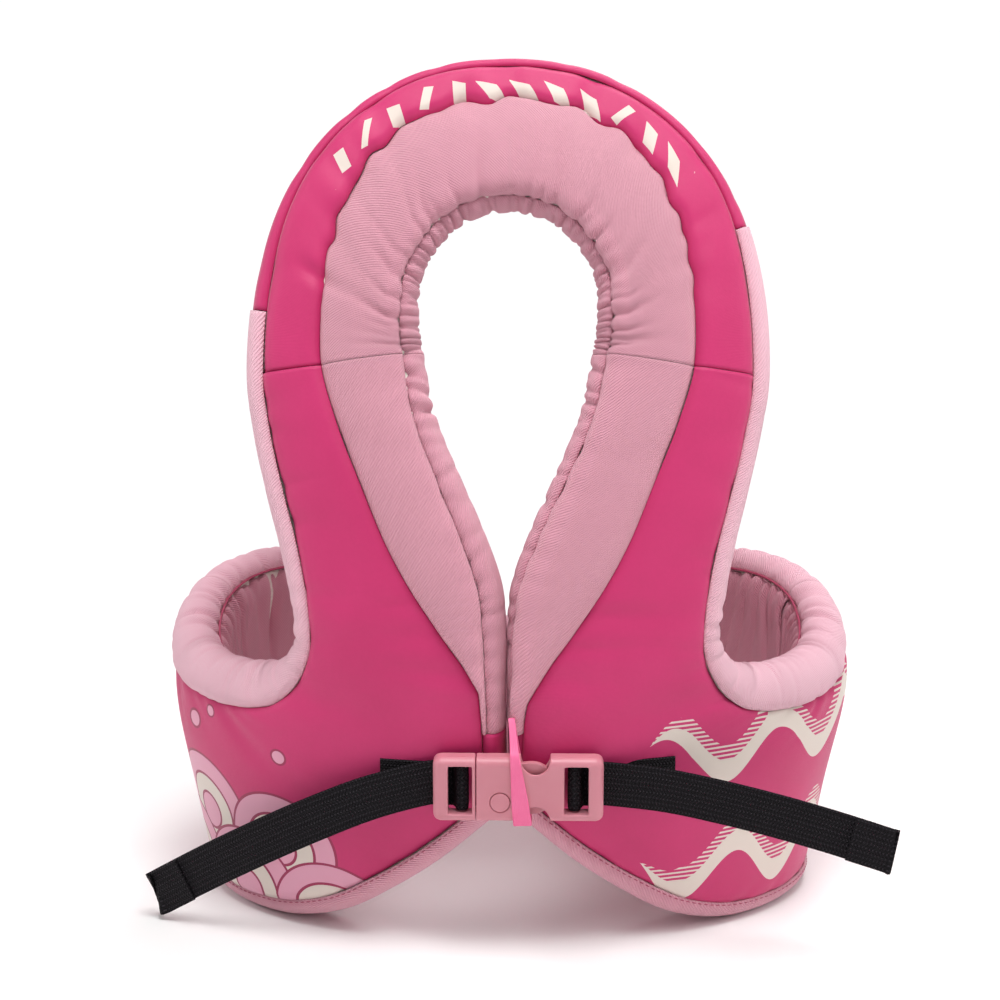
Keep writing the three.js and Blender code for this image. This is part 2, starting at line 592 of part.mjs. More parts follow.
addPiece("left_webbing_tail", tail("left", -1, MALE_LEFT), BLACK_WEBBING);
addPiece("right_webbing_tail", tail("right", 1, HOUSING_RIGHT), BLACK_WEBBING);

// ---- Buckle ----
// Outlines are drawn in X and Z round the buckle's middle and extruded backwards.
function slab(shape, front, back) {
  const geometry = new THREE.ExtrudeGeometry(shape, {
    depth: back - front,
    bevelEnabled: false,
    curveSegments: 6,
  });
  geometry.rotateX(Math.PI / 2);
  geometry.translate(0, back, BUCKLE_Z);
  return geometry;
}
const box = (x0, x1, y0, y1, z0, z1) =>
  new THREE.BoxGeometry(x1 - x0, y1 - y0, z1 - z0).translate(
    (x0 + x1) / 2,
    (y0 + y1) / 2,
    BUCKLE_Z + (z0 + z1) / 2,
  );
const barAt = (x) =>
  new THREE.CylinderGeometry(BAR_RADIUS, BAR_RADIUS, 2 * slotHalf + 2, 10)
    .rotateX(Math.PI / 2)
    .translate(x, barY, BUCKLE_Z);

// A frame's outline, rounded at its outer end, with the window that the webbing passes.
function frameOutline(inner, outer, way) {
  const shape = new THREE.Shape();
  const corner = outer - way * BUCKLE_CORNER;
  shape.moveTo(inner, halfHeight);
  shape.lineTo(corner, halfHeight);
  shape.quadraticCurveTo(outer, halfHeight, outer, halfHeight - BUCKLE_CORNER);
  shape.lineTo(outer, BUCKLE_CORNER - halfHeight);
  shape.quadraticCurveTo(outer, -halfHeight, corner, -halfHeight);
  shape.lineTo(inner, -halfHeight);
  shape.closePath();
  return shape;
}
function frameWindow(outer, way) {
  const a = outer - way * RIM_WIDTH;
  const b = a - way * WINDOW_LENGTH;
  return box(Math.min(a, b), Math.max(a, b), buckleFront - 1, buckleBack + 1, -slotHalf, slotHalf);
}

const maleBlock = cut(
  slab(frameOutline(JOINT_LINE - CLEARANCE / 2, MALE_LEFT, -1), buckleFront, buckleBack),
  frameWindow(MALE_LEFT, -1),
);
const lipFront = buckleFront + BUCKLE_WALL + LIP_PLAY;
const springFront = lipFront + LIP_THICKNESS + SPRING_PLAY;
const springBack = springFront + SPRING_HEIGHT;
const armFront = springBack + SPRING_PLAY;
const armBack = buckleBack - BUCKLE_WALL - ARM_PLAY;
const tongue = box(
  JOINT_LINE - 1,
  JOINT_LINE + TONGUE_LENGTH,
  armFront,
  armBack,
  -TONGUE_HALF_WIDTH,
  TONGUE_HALF_WIDTH,
);
addPiece("buckle_male_frame", join(maleBlock, barAt(leftBarX), tongue), PINK_PLASTIC);

const pocketHalf = halfHeight - POCKET_WALL;
const armRoot = JOINT_LINE + CLEARANCE;
function armShape(way) {
  const inner = ARM_MIDDLE - ARM_WIDTH / 2;
  const outer = ARM_MIDDLE + ARM_WIDTH / 2;
  const pad = outer + ARM_BULGE;
  const tip = JOINT_LINE + ARM_REACH;
  const shape = new THREE.Shape();
  shape.moveTo(armRoot, way * inner);
  shape.lineTo(tip - ARM_TIP, way * inner);
  shape.quadraticCurveTo(tip, way * inner, tip, way * outer);
  shape.quadraticCurveTo(tip - ARM_TIP, way * pad, SCOOP_X - PAD_REACH.end, way * pad);
  shape.quadraticCurveTo(SCOOP_X - PAD_REACH.rise, way * pad, SCOOP_X - PAD_REACH.start, way * outer);
  shape.lineTo(armRoot, way * outer);
  shape.closePath();
  return shape;
}
addPiece("upper_release_arm", slab(armShape(1), armFront, armBack), PINK_PLASTIC);
addPiece("lower_release_arm", slab(armShape(-1), armFront, armBack), PINK_PLASTIC);

const buttonZ = BUCKLE_Z - BUTTON_DROP;
const disc = (radius, front, back, sides = 24) =>
  new THREE.CylinderGeometry(radius, radius, back - front, sides).translate(
    BUTTON_X,
    (front + back) / 2,
    buttonZ,
  );
const scoop = (way) =>
  new THREE.CylinderGeometry(1, 1, 2 * BUCKLE_THICKNESS, 24)
    .scale(SCOOP_LENGTH / 2, 1, SCOOP_DEPTH)
    .translate(SCOOP_X, (buckleFront + buckleBack) / 2, BUCKLE_Z + way * halfHeight);
const pocket = box(
  JOINT_LINE - 1,
  JOINT_LINE + ARM_REACH + 3,
  buckleFront + BUCKLE_WALL,
  buckleBack - BUCKLE_WALL,
  -pocketHalf,
  pocketHalf,
);
const housing = cut(
  slab(frameOutline(JOINT_LINE + CLEARANCE / 2, HOUSING_RIGHT, 1), buckleFront, buckleBack),
  frameWindow(HOUSING_RIGHT, 1),
  pocket,
  scoop(1),
  scoop(-1),
  disc(BUTTON_RADIUS, buckleFront - 1, buckleFront + BUCKLE_WALL + 1),
);
addPiece("buckle_housing", join(housing, barAt(rightBarX)), PINK_PLASTIC);

addPiece(
  "release_button",
  join(
    disc(BUTTON_RADIUS - CLEARANCE / 2, buckleFront - BUTTON_PROUD, lipFront + LIP_THICKNESS / 2),
    disc(BUTTON_RADIUS + BUTTON_LIP, lipFront, lipFront + LIP_THICKNESS),
  ),
  PINK_PLASTIC,
);
addPiece(
  "button_spring",
  cut(
    disc(BUTTON_RADIUS - CLEARANCE, springFront, springBack),
    disc(BUTTON_RADIUS - CLEARANCE - SPRING_WALL, lipFront, armBack),
  ),
  STEEL,
);

// ---- Keeper band: an elastic loop from the foot of the neck opening round the housing ----
const keeperGap = KEEPER_THICKNESS / 2 + CLEARANCE;
const keeperSide = (y, heights) =>
  heights.map((height) => {
    const share = (KEEPER_TOP - height) / (KEEPER_TOP + halfHeight);
    return V(KEEPER_X + KEEPER_SLANT * share, y, BUCKLE_Z + height);
  });
const keeperFront = buckleFront - keeperGap;
const keeperBack = (buckleBack + offForm(0, BUCKLE_Z, clothFace).y) / 2;
const keeperPath = [
  ...keeperSide(keeperBack - KEEPER_TOP_TURN, [KEEPER_TOP]),
  ...keeperSide(keeperFront, [halfHeight + keeperGap, 0, -halfHeight]),
  ...keeperSide(keeperFront + KEEPER_FOOT_TURN, [-halfHeight - keeperGap]),
  ...keeperSide(keeperBack - KEEPER_FOOT_TURN / 2, [-halfHeight - keeperGap]),
  ...keeperSide(keeperBack, [-halfHeight, 0, halfHeight, KEEPER_TOP]),
];
addPiece(
  "keeper_band",
  ribbon(keeperPath, KEEPER_WIDTH, KEEPER_THICKNESS, V(1, 0, 0), true),
  PINK_RUBBER,
);

const bounds = new THREE.Box3().setFromObject(vest);
vest.position.z = -bounds.min.z;
vest.position.y = -(bounds.min.y + bounds.max.y) / 2;

export default vest;
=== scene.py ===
import math

import bmesh
import bpy
import numpy as np
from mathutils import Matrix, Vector


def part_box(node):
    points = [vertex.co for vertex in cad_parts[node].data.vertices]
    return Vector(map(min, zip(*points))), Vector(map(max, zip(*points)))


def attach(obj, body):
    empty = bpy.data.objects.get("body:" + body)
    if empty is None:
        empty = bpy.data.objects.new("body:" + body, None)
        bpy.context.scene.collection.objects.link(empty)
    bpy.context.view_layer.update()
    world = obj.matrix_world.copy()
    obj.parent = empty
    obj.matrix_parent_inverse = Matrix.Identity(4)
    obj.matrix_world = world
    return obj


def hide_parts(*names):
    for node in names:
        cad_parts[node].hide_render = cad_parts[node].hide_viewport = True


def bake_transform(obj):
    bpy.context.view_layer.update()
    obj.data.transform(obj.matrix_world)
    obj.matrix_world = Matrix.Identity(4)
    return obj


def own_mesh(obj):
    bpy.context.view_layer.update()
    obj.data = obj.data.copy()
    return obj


# A child's foam swim vest: padded cloth panels sewn over foam blocks, black webbing and a pink
# side-release buckle. Shapes are worked out in millimetres on the body form that the model is
# laid on, and placed() turns them into the frame's metres.
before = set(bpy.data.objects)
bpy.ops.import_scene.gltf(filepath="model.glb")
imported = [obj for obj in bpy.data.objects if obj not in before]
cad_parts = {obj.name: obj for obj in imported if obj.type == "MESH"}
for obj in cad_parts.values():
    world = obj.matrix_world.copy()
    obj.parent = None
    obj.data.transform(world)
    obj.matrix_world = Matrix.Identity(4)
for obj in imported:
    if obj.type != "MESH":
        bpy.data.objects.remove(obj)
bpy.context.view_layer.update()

MM = 0.001

# ---- The body form ----
CHEST_HALF_WIDTH, HEM_HALF_WIDTH = 180, 160
CHEST_HALF_DEPTH, HEM_HALF_DEPTH, COLLAR_HALF_DEPTH = 104, 96, 52
CHEST_Z, FLARE_HEIGHT = 100.0, 150
LEAN_START, LEAN_RADIUS = 140, 520
NECKING_START, NECKING_HEIGHT = 170, 290

# ---- Foam and cloth ----
FOAM_HALF = 14
STRAP_FOAM_HALF = 9
CLOTH = 1.2
CLEARANCE = 0.5
FOAM_SHRINK = 3.2  # the foam blocks stay this far under the cloth's creases

# ---- Webbing and buckle ----
WEBBING_WIDTH, WEBBING_THICKNESS = 25, 1.5
LAYER_GAP, WEBBING_STANDOFF = 0.6, 1.6
BUCKLE_Z, BUCKLE_WIDTH, BUCKLE_THICKNESS = 98, 36, 11
MALE_LEFT, HOUSING_RIGHT = -39, 52.4
RIM_WIDTH, BAR_INSET, BAR_RADIUS = 8, 7.5, 1.6
SEWN_START = 2
SEWN_LENGTH = {"left": 25, "right": 34}
TAIL_REACH = {"left": 197, "right": 204}
TAIL_DROP = {"left": 84, "right": 26}
TAIL_EASE = 1.4
TAIL_DEPTH = {"left": [0, 0.5, 6, 16, 30, 47], "right": [0, -2, -7, -13, -20, -28]}
TAIL_FOLD_LENGTH = 22
KEEPER_X, KEEPER_SLANT, KEEPER_TOP = 3, 6, 36


def smooth(t):
    """Rises from 0 to 1 as t does, level at both ends: 3 t^2 - 2 t^3."""
    t = np.clip(t, 0, 1)
    return t * t * (3 - 2 * t)


def bell(x):
    """exp(-x^2)."""
    return np.exp(-x * x)


def unit(v):
    return v / np.maximum(np.linalg.norm(v, axis=-1, keepdims=True), 1e-9)


def runs_along(points):
    """Each point's distance from the first one along its line of points."""
    runs = np.cumsum(np.linalg.norm(np.diff(points, axis=-2), axis=-1), axis=-1)
    return np.concatenate([np.zeros_like(runs[..., :1]), runs], axis=-1)


def sampled(values, runs, at):
    """Rows of three values that are known at runs, worked out at other places."""
    return np.stack([np.interp(at, runs, values[:, k]) for k in range(3)], -1)


def on_form(theta, z):
    """A point of the form: an oval at height z, theta degrees round from the centre front, whose
    front line leans back on an arc above LEAN_START."""
    theta, z = np.broadcast_arrays(np.asarray(theta, float), np.asarray(z, float))
    flare = smooth(z / FLARE_HEIGHT)
    width = HEM_HALF_WIDTH + (CHEST_HALF_WIDTH - HEM_HALF_WIDTH) * flare
    lower = HEM_HALF_DEPTH + (CHEST_HALF_DEPTH - HEM_HALF_DEPTH) * flare
    necking = smooth((z - NECKING_START) / NECKING_HEIGHT)
    depth = lower - (CHEST_HALF_DEPTH - COLLAR_HALF_DEPTH) * necking
    rise = np.clip((z - LEAN_START) / LEAN_RADIUS, 0, 0.95)
    front = -lower + LEAN_RADIUS * (1 - np.sqrt(1 - rise * rise))
    turn = np.radians(theta)
    return np.stack([width * np.sin(turn), front + depth * (1 - np.cos(turn)), z], -1)


STEP = 0.05  # degrees or millimetres, for slopes


def along_theta(theta, z):
    return (on_form(theta + STEP, z) - on_form(theta - STEP, z)) / (2 * STEP)


def along_height(theta, z):
    return (on_form(theta, z + STEP) - on_form(theta, z - STEP)) / (2 * STEP)


def off_form(theta, z, height):
    """The form's point, moved outwards along its normal by height."""
    normal = unit(np.cross(along_theta(theta, z), along_height(theta, z)))
    return on_form(theta, z) + normal * np.asarray(height, float)[..., None]


WEBBING_LIFT = FOAM_HALF + CLEARANCE + CLOTH + WEBBING_STANDOFF + WEBBING_THICKNESS / 2
INNER_LAYER_Y = float(off_form(0.0, BUCKLE_Z, WEBBING_LIFT)[1])
OUTER_LAYER_Y = INNER_LAYER_Y - WEBBING_THICKNESS - LAYER_GAP
BUCKLE_BACK = OUTER_LAYER_Y - WEBBING_THICKNESS / 2 - CLEARANCE
BUCKLE_FRONT = BUCKLE_BACK - BUCKLE_THICKNESS
housing_low, housing_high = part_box("buckle_housing")
SHIFT = np.array([
    0,
    housing_high[1] / MM - BUCKLE_BACK,
    (housing_low[2] + housing_high[2]) / 2 / MM - BUCKLE_Z,
])


def placed(points):
    """Form millimetres to the frame's metres."""
    return (np.asarray(points, float) + SHIFT) * MM


# ---- Camera, floor and light, in metres ----
CAMERA_TARGET = Vector((-0.005, -0.0025, 0.2315))
CAMERA_DISTANCE, CAMERA_AZIMUTH, CAMERA_ELEVATION = 1.4, math.radians(1), math.radians(14)
CAMERA_LENS, CAMERA_SENSOR = 89, 36
FLOOR_HALF = 30
SKY_COLOR, SKY_STRENGTH = (1, 0.985, 0.975, 1), 0.34
# Each light's place, the point it faces, its width and its watts.
LIGHTS = {
    "key_light": ((0.15, -0.55, 2.2), (0, 0, 0.25), 1.1, 34),
    "left_light": ((-1.8, -0.4, 1.2), (0, 0, 0.15), 1.1, 9),
    "right_light": ((1.8, -0.4, 1.2), (0, 0, 0.15), 1.1, 10),
    "back_light": ((0.5, 1.6, 1.9), (0, 0, 0.3), 1.2, 20),
}


def stand(item, place, way):
    """Puts a camera or a light at a place, looking along way."""
    item.location = place
    item.rotation_mode = "QUATERNION"
    item.rotation_quaternion = way.to_track_quat("-Z", "Y")
    bpy.context.scene.collection.objects.link(item)


def make_stage():
    """A camera in front and a little above, a pale floor, and soft light from above."""
    scene = bpy.context.scene
    scene.view_settings.view_transform = "Standard"
    level = CAMERA_DISTANCE * math.cos(CAMERA_ELEVATION)
    offset = Vector((
        math.sin(CAMERA_AZIMUTH) * level,
        -math.cos(CAMERA_AZIMUTH) * level,
        math.sin(CAMERA_ELEVATION) * CAMERA_DISTANCE,
    ))
    data = bpy.data.cameras.new("camera")
    data.lens, data.sensor_width = CAMERA_LENS, CAMERA_SENSOR
    scene.camera = bpy.data.objects.new("camera", data)
    stand(scene.camera, CAMERA_TARGET + offset, -offset)

    half = FLOOR_HALF
    mesh = bpy.data.meshes.new("floor")
    corners = [(-half, -half, 0), (half, -half, 0), (half, half, 0), (-half, half, 0)]
    mesh.from_pydata(corners, [], [(0, 1, 2, 3)])
    floor = bpy.data.objects.new("floor", mesh)
    scene.collection.objects.link(floor)

    world = bpy.data.worlds.new("studio")
    world.use_nodes = True
    tree = world.node_tree
    soft = tree.nodes["Background"]
    soft.inputs["Color"].default_value = SKY_COLOR
    soft.inputs["Strength"].default_value = SKY_STRENGTH
    white = tree.nodes.new("ShaderNodeBackground")
    white.inputs["Color"].default_value = (1, 1, 1, 1)
    seen = tree.nodes.new("ShaderNodeLightPath")
    either = tree.nodes.new("ShaderNodeMixShader")
    tree.links.new(seen.outputs["Is Camera Ray"], either.inputs[0])
    tree.links.new(soft.outputs[0], either.inputs[1])
    tree.links.new(white.outputs[0], either.inputs[2])
    tree.links.new(either.outputs[0], tree.nodes["World Output"].inputs["Surface"])
    scene.world = world

    for name, (place, aim, size, watts) in LIGHTS.items():
        light = bpy.data.lights.new(name, "AREA")
        light.shape, light.size, light.energy = "DISK", size, watts
        stand(bpy.data.objects.new(name, light), place, Vector(aim) - Vector(place))
    return floor


# ---- Shader maths ----
def unary(operation):
    return lambda wire: wire.op(operation, wire)


def binary(operation):
    return lambda a, b: a.op(operation, a, b)


class Wire:
    """A value that varies over a surface: an output socket that works in Python expressions."""

    def __init__(self, look, socket):
        self.look, self.socket = look, socket

    def op(self, operation, *values, clamp=False):
        node = self.look.node("ShaderNodeMath", {"operation": operation, "use_clamp": clamp},
                              dict(enumerate(values)))
        return Wire(self.look, node.outputs[0])

    __add__ = __radd__ = binary("ADD")
    __sub__, __mul__, __truediv__ = binary("SUBTRACT"), binary("MULTIPLY"), binary("DIVIDE")
    __lt__, __gt__ = binary("LESS_THAN"), binary("GREATER_THAN")
    sin, fract, floor = unary("SINE"), unary("FRACT"), unary("FLOOR")
    abs, root = unary("ABSOLUTE"), unary("SQRT")

    def __rsub__(self, other):
        return self.op("SUBTRACT", other, self)

    def clip(self):
        return self.op("ADD", self, 0, clamp=True)

    def wave(self, period):
        """0 to 1 and back over one period."""
        return (self * (2 * math.pi / period)).sin() * 0.5 + 0.5


class Look:
    """One material: a Principled shader and the nodes that feed it."""

    def __init__(self, name, color, roughness, **constants):
        self.material = bpy.data.materials.new(name)
        self.material.use_nodes = True
        self.tree = self.material.node_tree
        self.shader = self.tree.nodes["Principled BSDF"]
        self.material.diffuse_color = (*color, 1)
        self.shader.inputs["Base Color"].default_value = (*color, 1)
        self.shader.inputs["Roughness"].default_value = roughness
        for socket, value in constants.items():
            self.shader.inputs[socket.replace("_", " ")].default_value = value

    def node(self, kind, settings=None, inputs=None):
        """A node of this kind. settings are set first, then inputs are set or linked."""
        made = self.tree.nodes.new(kind)
        for key, value in (settings or {}).items():
            setattr(made, key, value)
        for key, value in (inputs or {}).items():
            self.feed(made.inputs[key], value)
        return made

    def feed(self, socket, value):
        if isinstance(value, Wire):
            value = value.socket
        if isinstance(value, bpy.types.NodeSocket):
            self.tree.links.new(value, socket)
        else:
            socket.default_value = value

    def noise(self, vector, scale, detail=2.0):
        made = self.node("ShaderNodeTexNoise", {},
                         {"Vector": vector, "Scale": scale, "Detail": detail})
        return Wire(self, made.outputs["Fac"])

    def place(self):
        """The piece's object coordinates, in metres."""
        return self.node("ShaderNodeTexCoord").outputs["Object"]

    def parts(self, vector):
        split = self.node("ShaderNodeSeparateXYZ", {}, {0: vector})
        return [Wire(self, out) for out in split.outputs]

    def uv(self, name):
        """The two parts of the UV map of this name, in metres."""
        return self.parts(self.node("ShaderNodeUVMap", {"uv_map": name}).outputs[0])[:2]

    def mix(self, factor, a, b):
        """Colour a where factor is 0 and b where it is 1. A colour is a socket or three numbers."""
        a, b = [(*c, 1) if isinstance(c, tuple) else c for c in (a, b)]
        made = self.node("ShaderNodeMix", {"data_type": "RGBA"}, {0: factor, 6: a, 7: b})
        return made.outputs[2]

    def finish(self, color, roughness=None, height=None, depth=0.0, strength=0.0):
        """The material, with its colour, its roughness and its bump fed by these. depth is in
        metres."""
        self.feed(self.shader.inputs["Base Color"], color)
        if roughness is not None:
            self.feed(self.shader.inputs["Roughness"], roughness)
        if height is not None:
            bump = self.node("ShaderNodeBump", {},
                             {"Strength": strength, "Distance": depth, "Height": height})
            self.feed(self.shader.inputs["Normal"], bump.outputs[0])
        return self.material


def srgb(red, green, blue):
    """Eight-bit sRGB to the linear colour that shaders use."""
    return tuple(
        c / 255 / 12.92 if c <= 10 else ((c / 255 + 0.055) / 1.055) ** 2.4
        for c in (red, green, blue)
    )


HOT_PINK = srgb(211, 40, 112)
HOT_PINK_DEEP = srgb(178, 28, 88)
LIGHT_PINK = srgb(228, 161, 179)
LIGHT_PINK_DEEP = srgb(206, 130, 150)
# Lighter copies of the light pink twill's colours for the padded rolls: painted light, for the light
# that the rolls catch from above.
PAINTED_LIT_PINK = srgb(250, 198, 213)
PAINTED_LIT_PINK_DEEP = srgb(232, 166, 185)
PRINT_PINK = srgb(228, 160, 184)
PRINT_CREAM = srgb(226, 212, 202)
PRINT_LINE = srgb(158, 30, 78)
PLASTIC_PINK = srgb(206, 128, 142)
BAND_PINK, BAND_PINK_DEEP = srgb(250, 120, 168), srgb(236, 84, 140)
WEBBING_BLACK, WEBBING_DOT = srgb(34, 31, 35), srgb(76, 71, 78)
WEBBING_DEEP, WEBBING_RAISED = srgb(9, 8, 10), srgb(27, 23, 28)
THREAD_PINK = srgb(186, 66, 104)
FOAM_WHITE, FOAM_SHADE = srgb(240, 236, 226), srgb(214, 208, 194)
STEEL, STEEL_DEEP, STEEL_PALE = srgb(176, 178, 182), srgb(150, 152, 156), srgb(196, 198, 202)


# ---- Materials. Every length in them is in metres ----
NYLON_PITCH = 0.0006
TWILL_PITCH = 0.0017


def nylon(name, printing=None):
    """Smooth coated plain-weave nylon: fine square weave, faint rubbed streaks, printed motif."""
    look = Look(name, HOT_PINK, 0.5, Sheen_Weight=0.18, Sheen_Roughness=0.45)
    u, v = look.uv("cloth")
    weave = u.wave(NYLON_PITCH) * v.wave(NYLON_PITCH)
    cloud = look.noise(look.place(), 22.0, 3.0)
    fine = look.noise(look.place(), 420.0)
    color = look.mix((cloud * 0.55 + fine * 0.15).clip(), HOT_PINK, HOT_PINK_DEEP)
    if printing:
        color = printing(look, color)
    rough = 0.46 + cloud * 0.12 + weave * 0.05
    return look.finish(color, rough, weave * 0.5 + fine * 0.5, 0.00025, 0.5)


def twill(name, light, deep):
    """Matte brushed twill: diagonal ribs broken up by the crossing yarns, with a soft nap."""
    look = Look(name, light, 0.86, Sheen_Weight=0.3, Sheen_Roughness=0.6)
    u, v = look.uv("cloth")
    ribs = (u + v).wave(TWILL_PITCH)
    yarns = (u - v).wave(TWILL_PITCH / 2)
    nap = look.noise(look.place(), 900.0, 3.0)
    cloud = look.noise(look.place(), 16.0, 3.0)
    height = ribs * 0.65 + yarns * 0.25 + nap * 0.25
    # The colour is darker in the valleys between the ribs and the yarns as painted shade, and it also
    # varies by a random cloud of tone.
    shade = ((1 - ribs) * 0.32 + (1 - yarns) * 0.1 + cloud * 0.25).clip()
    return look.finish(look.mix(shade, light, deep), 0.8 + nap * 0.15, height, 0.0006, 0.9)


# The x and z of each scallop's middle and its radius, back row first, and of each bubble's.
SCALLOPS = (
    (-0.232, 0.050, 0.036), (-0.176, 0.052, 0.036), (-0.120, 0.044, 0.034),
    (-0.260, 0.016, 0.036), (-0.204, 0.016, 0.036), (-0.148, 0.014, 0.036), (-0.094, 0.006, 0.034),
)
BUBBLES = ((-0.176, 0.108, 0.006), (-0.160, 0.117, 0.004), (-0.112, 0.101, 0.005))
INNER_RING, OUTER_RING, OUTLINE = 0.3, 0.62, 0.98  # shares of a scallop's radius
OUTLINE_HALF = 0.0008
BUBBLE_LINE, BUBBLE_LINE_HALF = 0.88, 0.13  # shares of a bubble's radius


def scallops(look, color):
    """Rounded wave scallops, each a dome of light, cream and light rings with dark outlines, and
    a few bubbles over them."""
    x, z = look.uv("print")

    def disc(cx, cz, radius):
        dx, dz = (x - cx) / radius, (z - cz) / radius
        return (dx * dx + dz * dz).root()

    def line(d, at, half):
        return (d - at).abs() < half

    for cx, cz, radius in SCALLOPS:
        d = disc(cx, cz, radius)
        ring = look.mix(d < OUTER_RING, PRINT_PINK, PRINT_CREAM)
        ring = look.mix(d < INNER_RING, ring, PRINT_PINK)
        for at in (INNER_RING, OUTER_RING, OUTLINE):
            ring = look.mix(line(d, at, OUTLINE_HALF / radius), ring, PRINT_LINE)
        color = look.mix(d < 1, color, ring)
    for cx, cz, radius in BUBBLES:
        d = disc(cx, cz, radius)
        bubble = look.mix(line(d, BUBBLE_LINE, BUBBLE_LINE_HALF), PRINT_PINK, PRINT_LINE)
        color = look.mix(d < 1, color, bubble)
    return color


WAVES_START, WAVES_END, WAVES_TAPER = 0.066, 0.268, 0.022
WAVE_LENGTH, WAVE_SWING, WAVE_HALF = 0.064, 0.013, 0.0065
HATCH_TOP, HATCH_PITCH, HATCH_SHARE = 0.0155, 0.0026, 0.42
WAVE_ROWS = ((0.108, 0.4), (0.038, 2.3))  # each band's height and its phase


def waves(look, color):
    """Two cream wave bands, with level hatch lines above each one, that taper at their ends."""
    x, z = look.uv("print")
    taper = ((x - WAVES_START) / WAVES_TAPER).clip() * ((WAVES_END - x) / WAVES_TAPER).clip()
    for level, phase in WAVE_ROWS:
        crest = (x * (2 * math.pi / WAVE_LENGTH) + phase).sin() * WAVE_SWING + level
        high = z - crest
        half = taper * WAVE_HALF
        band = high.abs() < half
        lines = (z / HATCH_PITCH).fract() < HATCH_SHARE
        hatch = (high > half) * (high < taper * HATCH_TOP) * lines
        color = look.mix((band + hatch).clip(), color, PRINT_CREAM)
    return color


DASH_PITCH, DASH_ROW_HALF = 0.017, 0.105
DASH_HEIGHT, DASH_HEIGHT_SPAN = 0.014, 0.004
DASH_LEAN, DASH_LEAN_SPAN = -0.7, 1.4
DASH_HALF_WIDTH, DASH_HALF_LENGTH, DASH_LENGTH_SPAN = 0.0022, 0.0042, 0.003


def dashes(look, color):
    """Short slanted cream strokes in a row round the top of the collar, each with its own height,
    lean, width and length."""
    u, v = look.uv("band")
    cell = (u / DASH_PITCH).floor()
    local = u - (cell + 0.5) * DASH_PITCH
    chance = look.node("ShaderNodeTexWhiteNoise", {"noise_dimensions": "1D"}, {"W": cell + 0.5})
    lot = Wire(look, chance.outputs["Value"])
    middle = DASH_HEIGHT + lot * DASH_HEIGHT_SPAN
    lean = (v - middle) * (lot * DASH_LEAN_SPAN + DASH_LEAN)
    wide = (local - lean).abs() < DASH_HALF_WIDTH + lot * DASH_HALF_WIDTH
    long = (v - middle - local * 0.3).abs() < DASH_HALF_LENGTH + (1 - lot) * DASH_LENGTH_SPAN
    return look.mix(wide * long * (u.abs() < DASH_ROW_HALF), color, PRINT_CREAM)


PICK_PITCH, CORD_PITCH, CHEVRON_PITCH, CHEVRON_LEAN = 0.0019, 0.0014, 0.0042, 0.0034


def webbing_look():
    """Ribbed polypropylene webbing: rows of slanting picks that change direction across it."""
    look = Look("black_webbing", WEBBING_BLACK, 0.62, Specular_IOR_Level=0.12)
    u, v = look.uv("cloth")
    slant = ((v / CHEVRON_PITCH).fract() - 0.5).abs() * CHEVRON_LEAN
    picks = (u + slant).wave(PICK_PITCH)
    cords = v.wave(CORD_PITCH)
    fibre = look.noise(look.place(), 1400.0)
    height = picks * 0.7 + cords * 0.35 + fibre * 0.12
    dots = (u.wave(PICK_PITCH) > 0.72) * (v.wave(2 * CORD_PITCH) > 0.8)
    # Painted shade darkens the picks' valleys and painted light brightens their raised tops; the fibre
    # noise adds random tone.
    color = look.mix((picks * 0.7 + fibre * 0.3).clip(), WEBBING_DEEP, WEBBING_RAISED)
    color = look.mix(dots * 0.35, color, WEBBING_DOT)
    return look.finish(color, 0.5 + fibre * 0.2, height, 0.0007, 0.9)


def plastic_look():
    """Moulded acetal: a fine spark-eroded grain, slightly paler where it is rubbed."""
    look = Look("pink_buckle_plastic", PLASTIC_PINK, 0.36,
                Coat_Weight=0.12, Coat_Roughness=0.3, Subsurface_Weight=0.08)
    look.shader.inputs["Subsurface Radius"].default_value = (0.004, 0.002, 0.002)
    grain = look.noise(look.place(), 1500.0)
    cloud = look.noise(look.place(), 60.0, 3.0)
    paler = tuple(c * 0.8 + 0.2 for c in PLASTIC_PINK)
    tint = look.mix((cloud - 0.35).clip() * 0.35, PLASTIC_PINK, paler)
    return look.finish(tint, 0.32 + grain * 0.1 + cloud * 0.08, grain, 0.00012, 0.35)


def elastic_look():
    """Flat elastic: fine cords along its length, a little glossy."""
    look = Look("pink_elastic", BAND_PINK, 0.42)
    _, v = look.uv("cloth")
    cloud = look.noise(look.place(), 120.0)
    color = look.mix((cloud * 0.6).clip(), BAND_PINK, BAND_PINK_DEEP)
    return look.finish(color, 0.38 + cloud * 0.12, v.wave(0.0009) + cloud * 0.4, 0.0002, 0.5)


def foam_look():
    """Closed-cell foam, with small cells that the knife has opened."""
    look = Look("flotation_foam", FOAM_WHITE, 0.92)
    cells = look.node("ShaderNodeTexVoronoi", {}, {"Vector": look.place(), "Scale": 700.0})
    depth = Wire(look, cells.outputs["Distance"])
    color = look.mix((depth * 0.6).clip(), FOAM_WHITE, FOAM_SHADE)
    return look.finish(color, None, depth, 0.0004, 0.5)


def steel_look():
    """Drawn spring steel with lengthwise draw marks."""
    look = Look("spring_steel", STEEL, 0.34, Metallic=1.0)
    marks = look.noise(look.place(), 900.0, 3.0)
    tint = look.mix(marks, STEEL_DEEP, STEEL_PALE)
    return look.finish(tint, 0.28 + marks * 0.16, marks, 0.0001, 0.3)


def thread_look():
    """Twisted sewing thread."""
    look = Look("pink_thread", THREAD_PINK, 0.6, Sheen_Weight=0.2)
    ply = look.noise(look.place(), 1600.0)
    tint = look.mix(ply * 0.6, THREAD_PINK, tuple(c * 0.55 for c in THREAD_PINK))
    return look.finish(tint, None, ply, 0.0002, 0.6)


BLACK, WHITE = (0.0, 0.0, 0.0), (1.0, 1.0, 1.0)
GLOW_START, GLOW_REACH = 0.34, 0.5


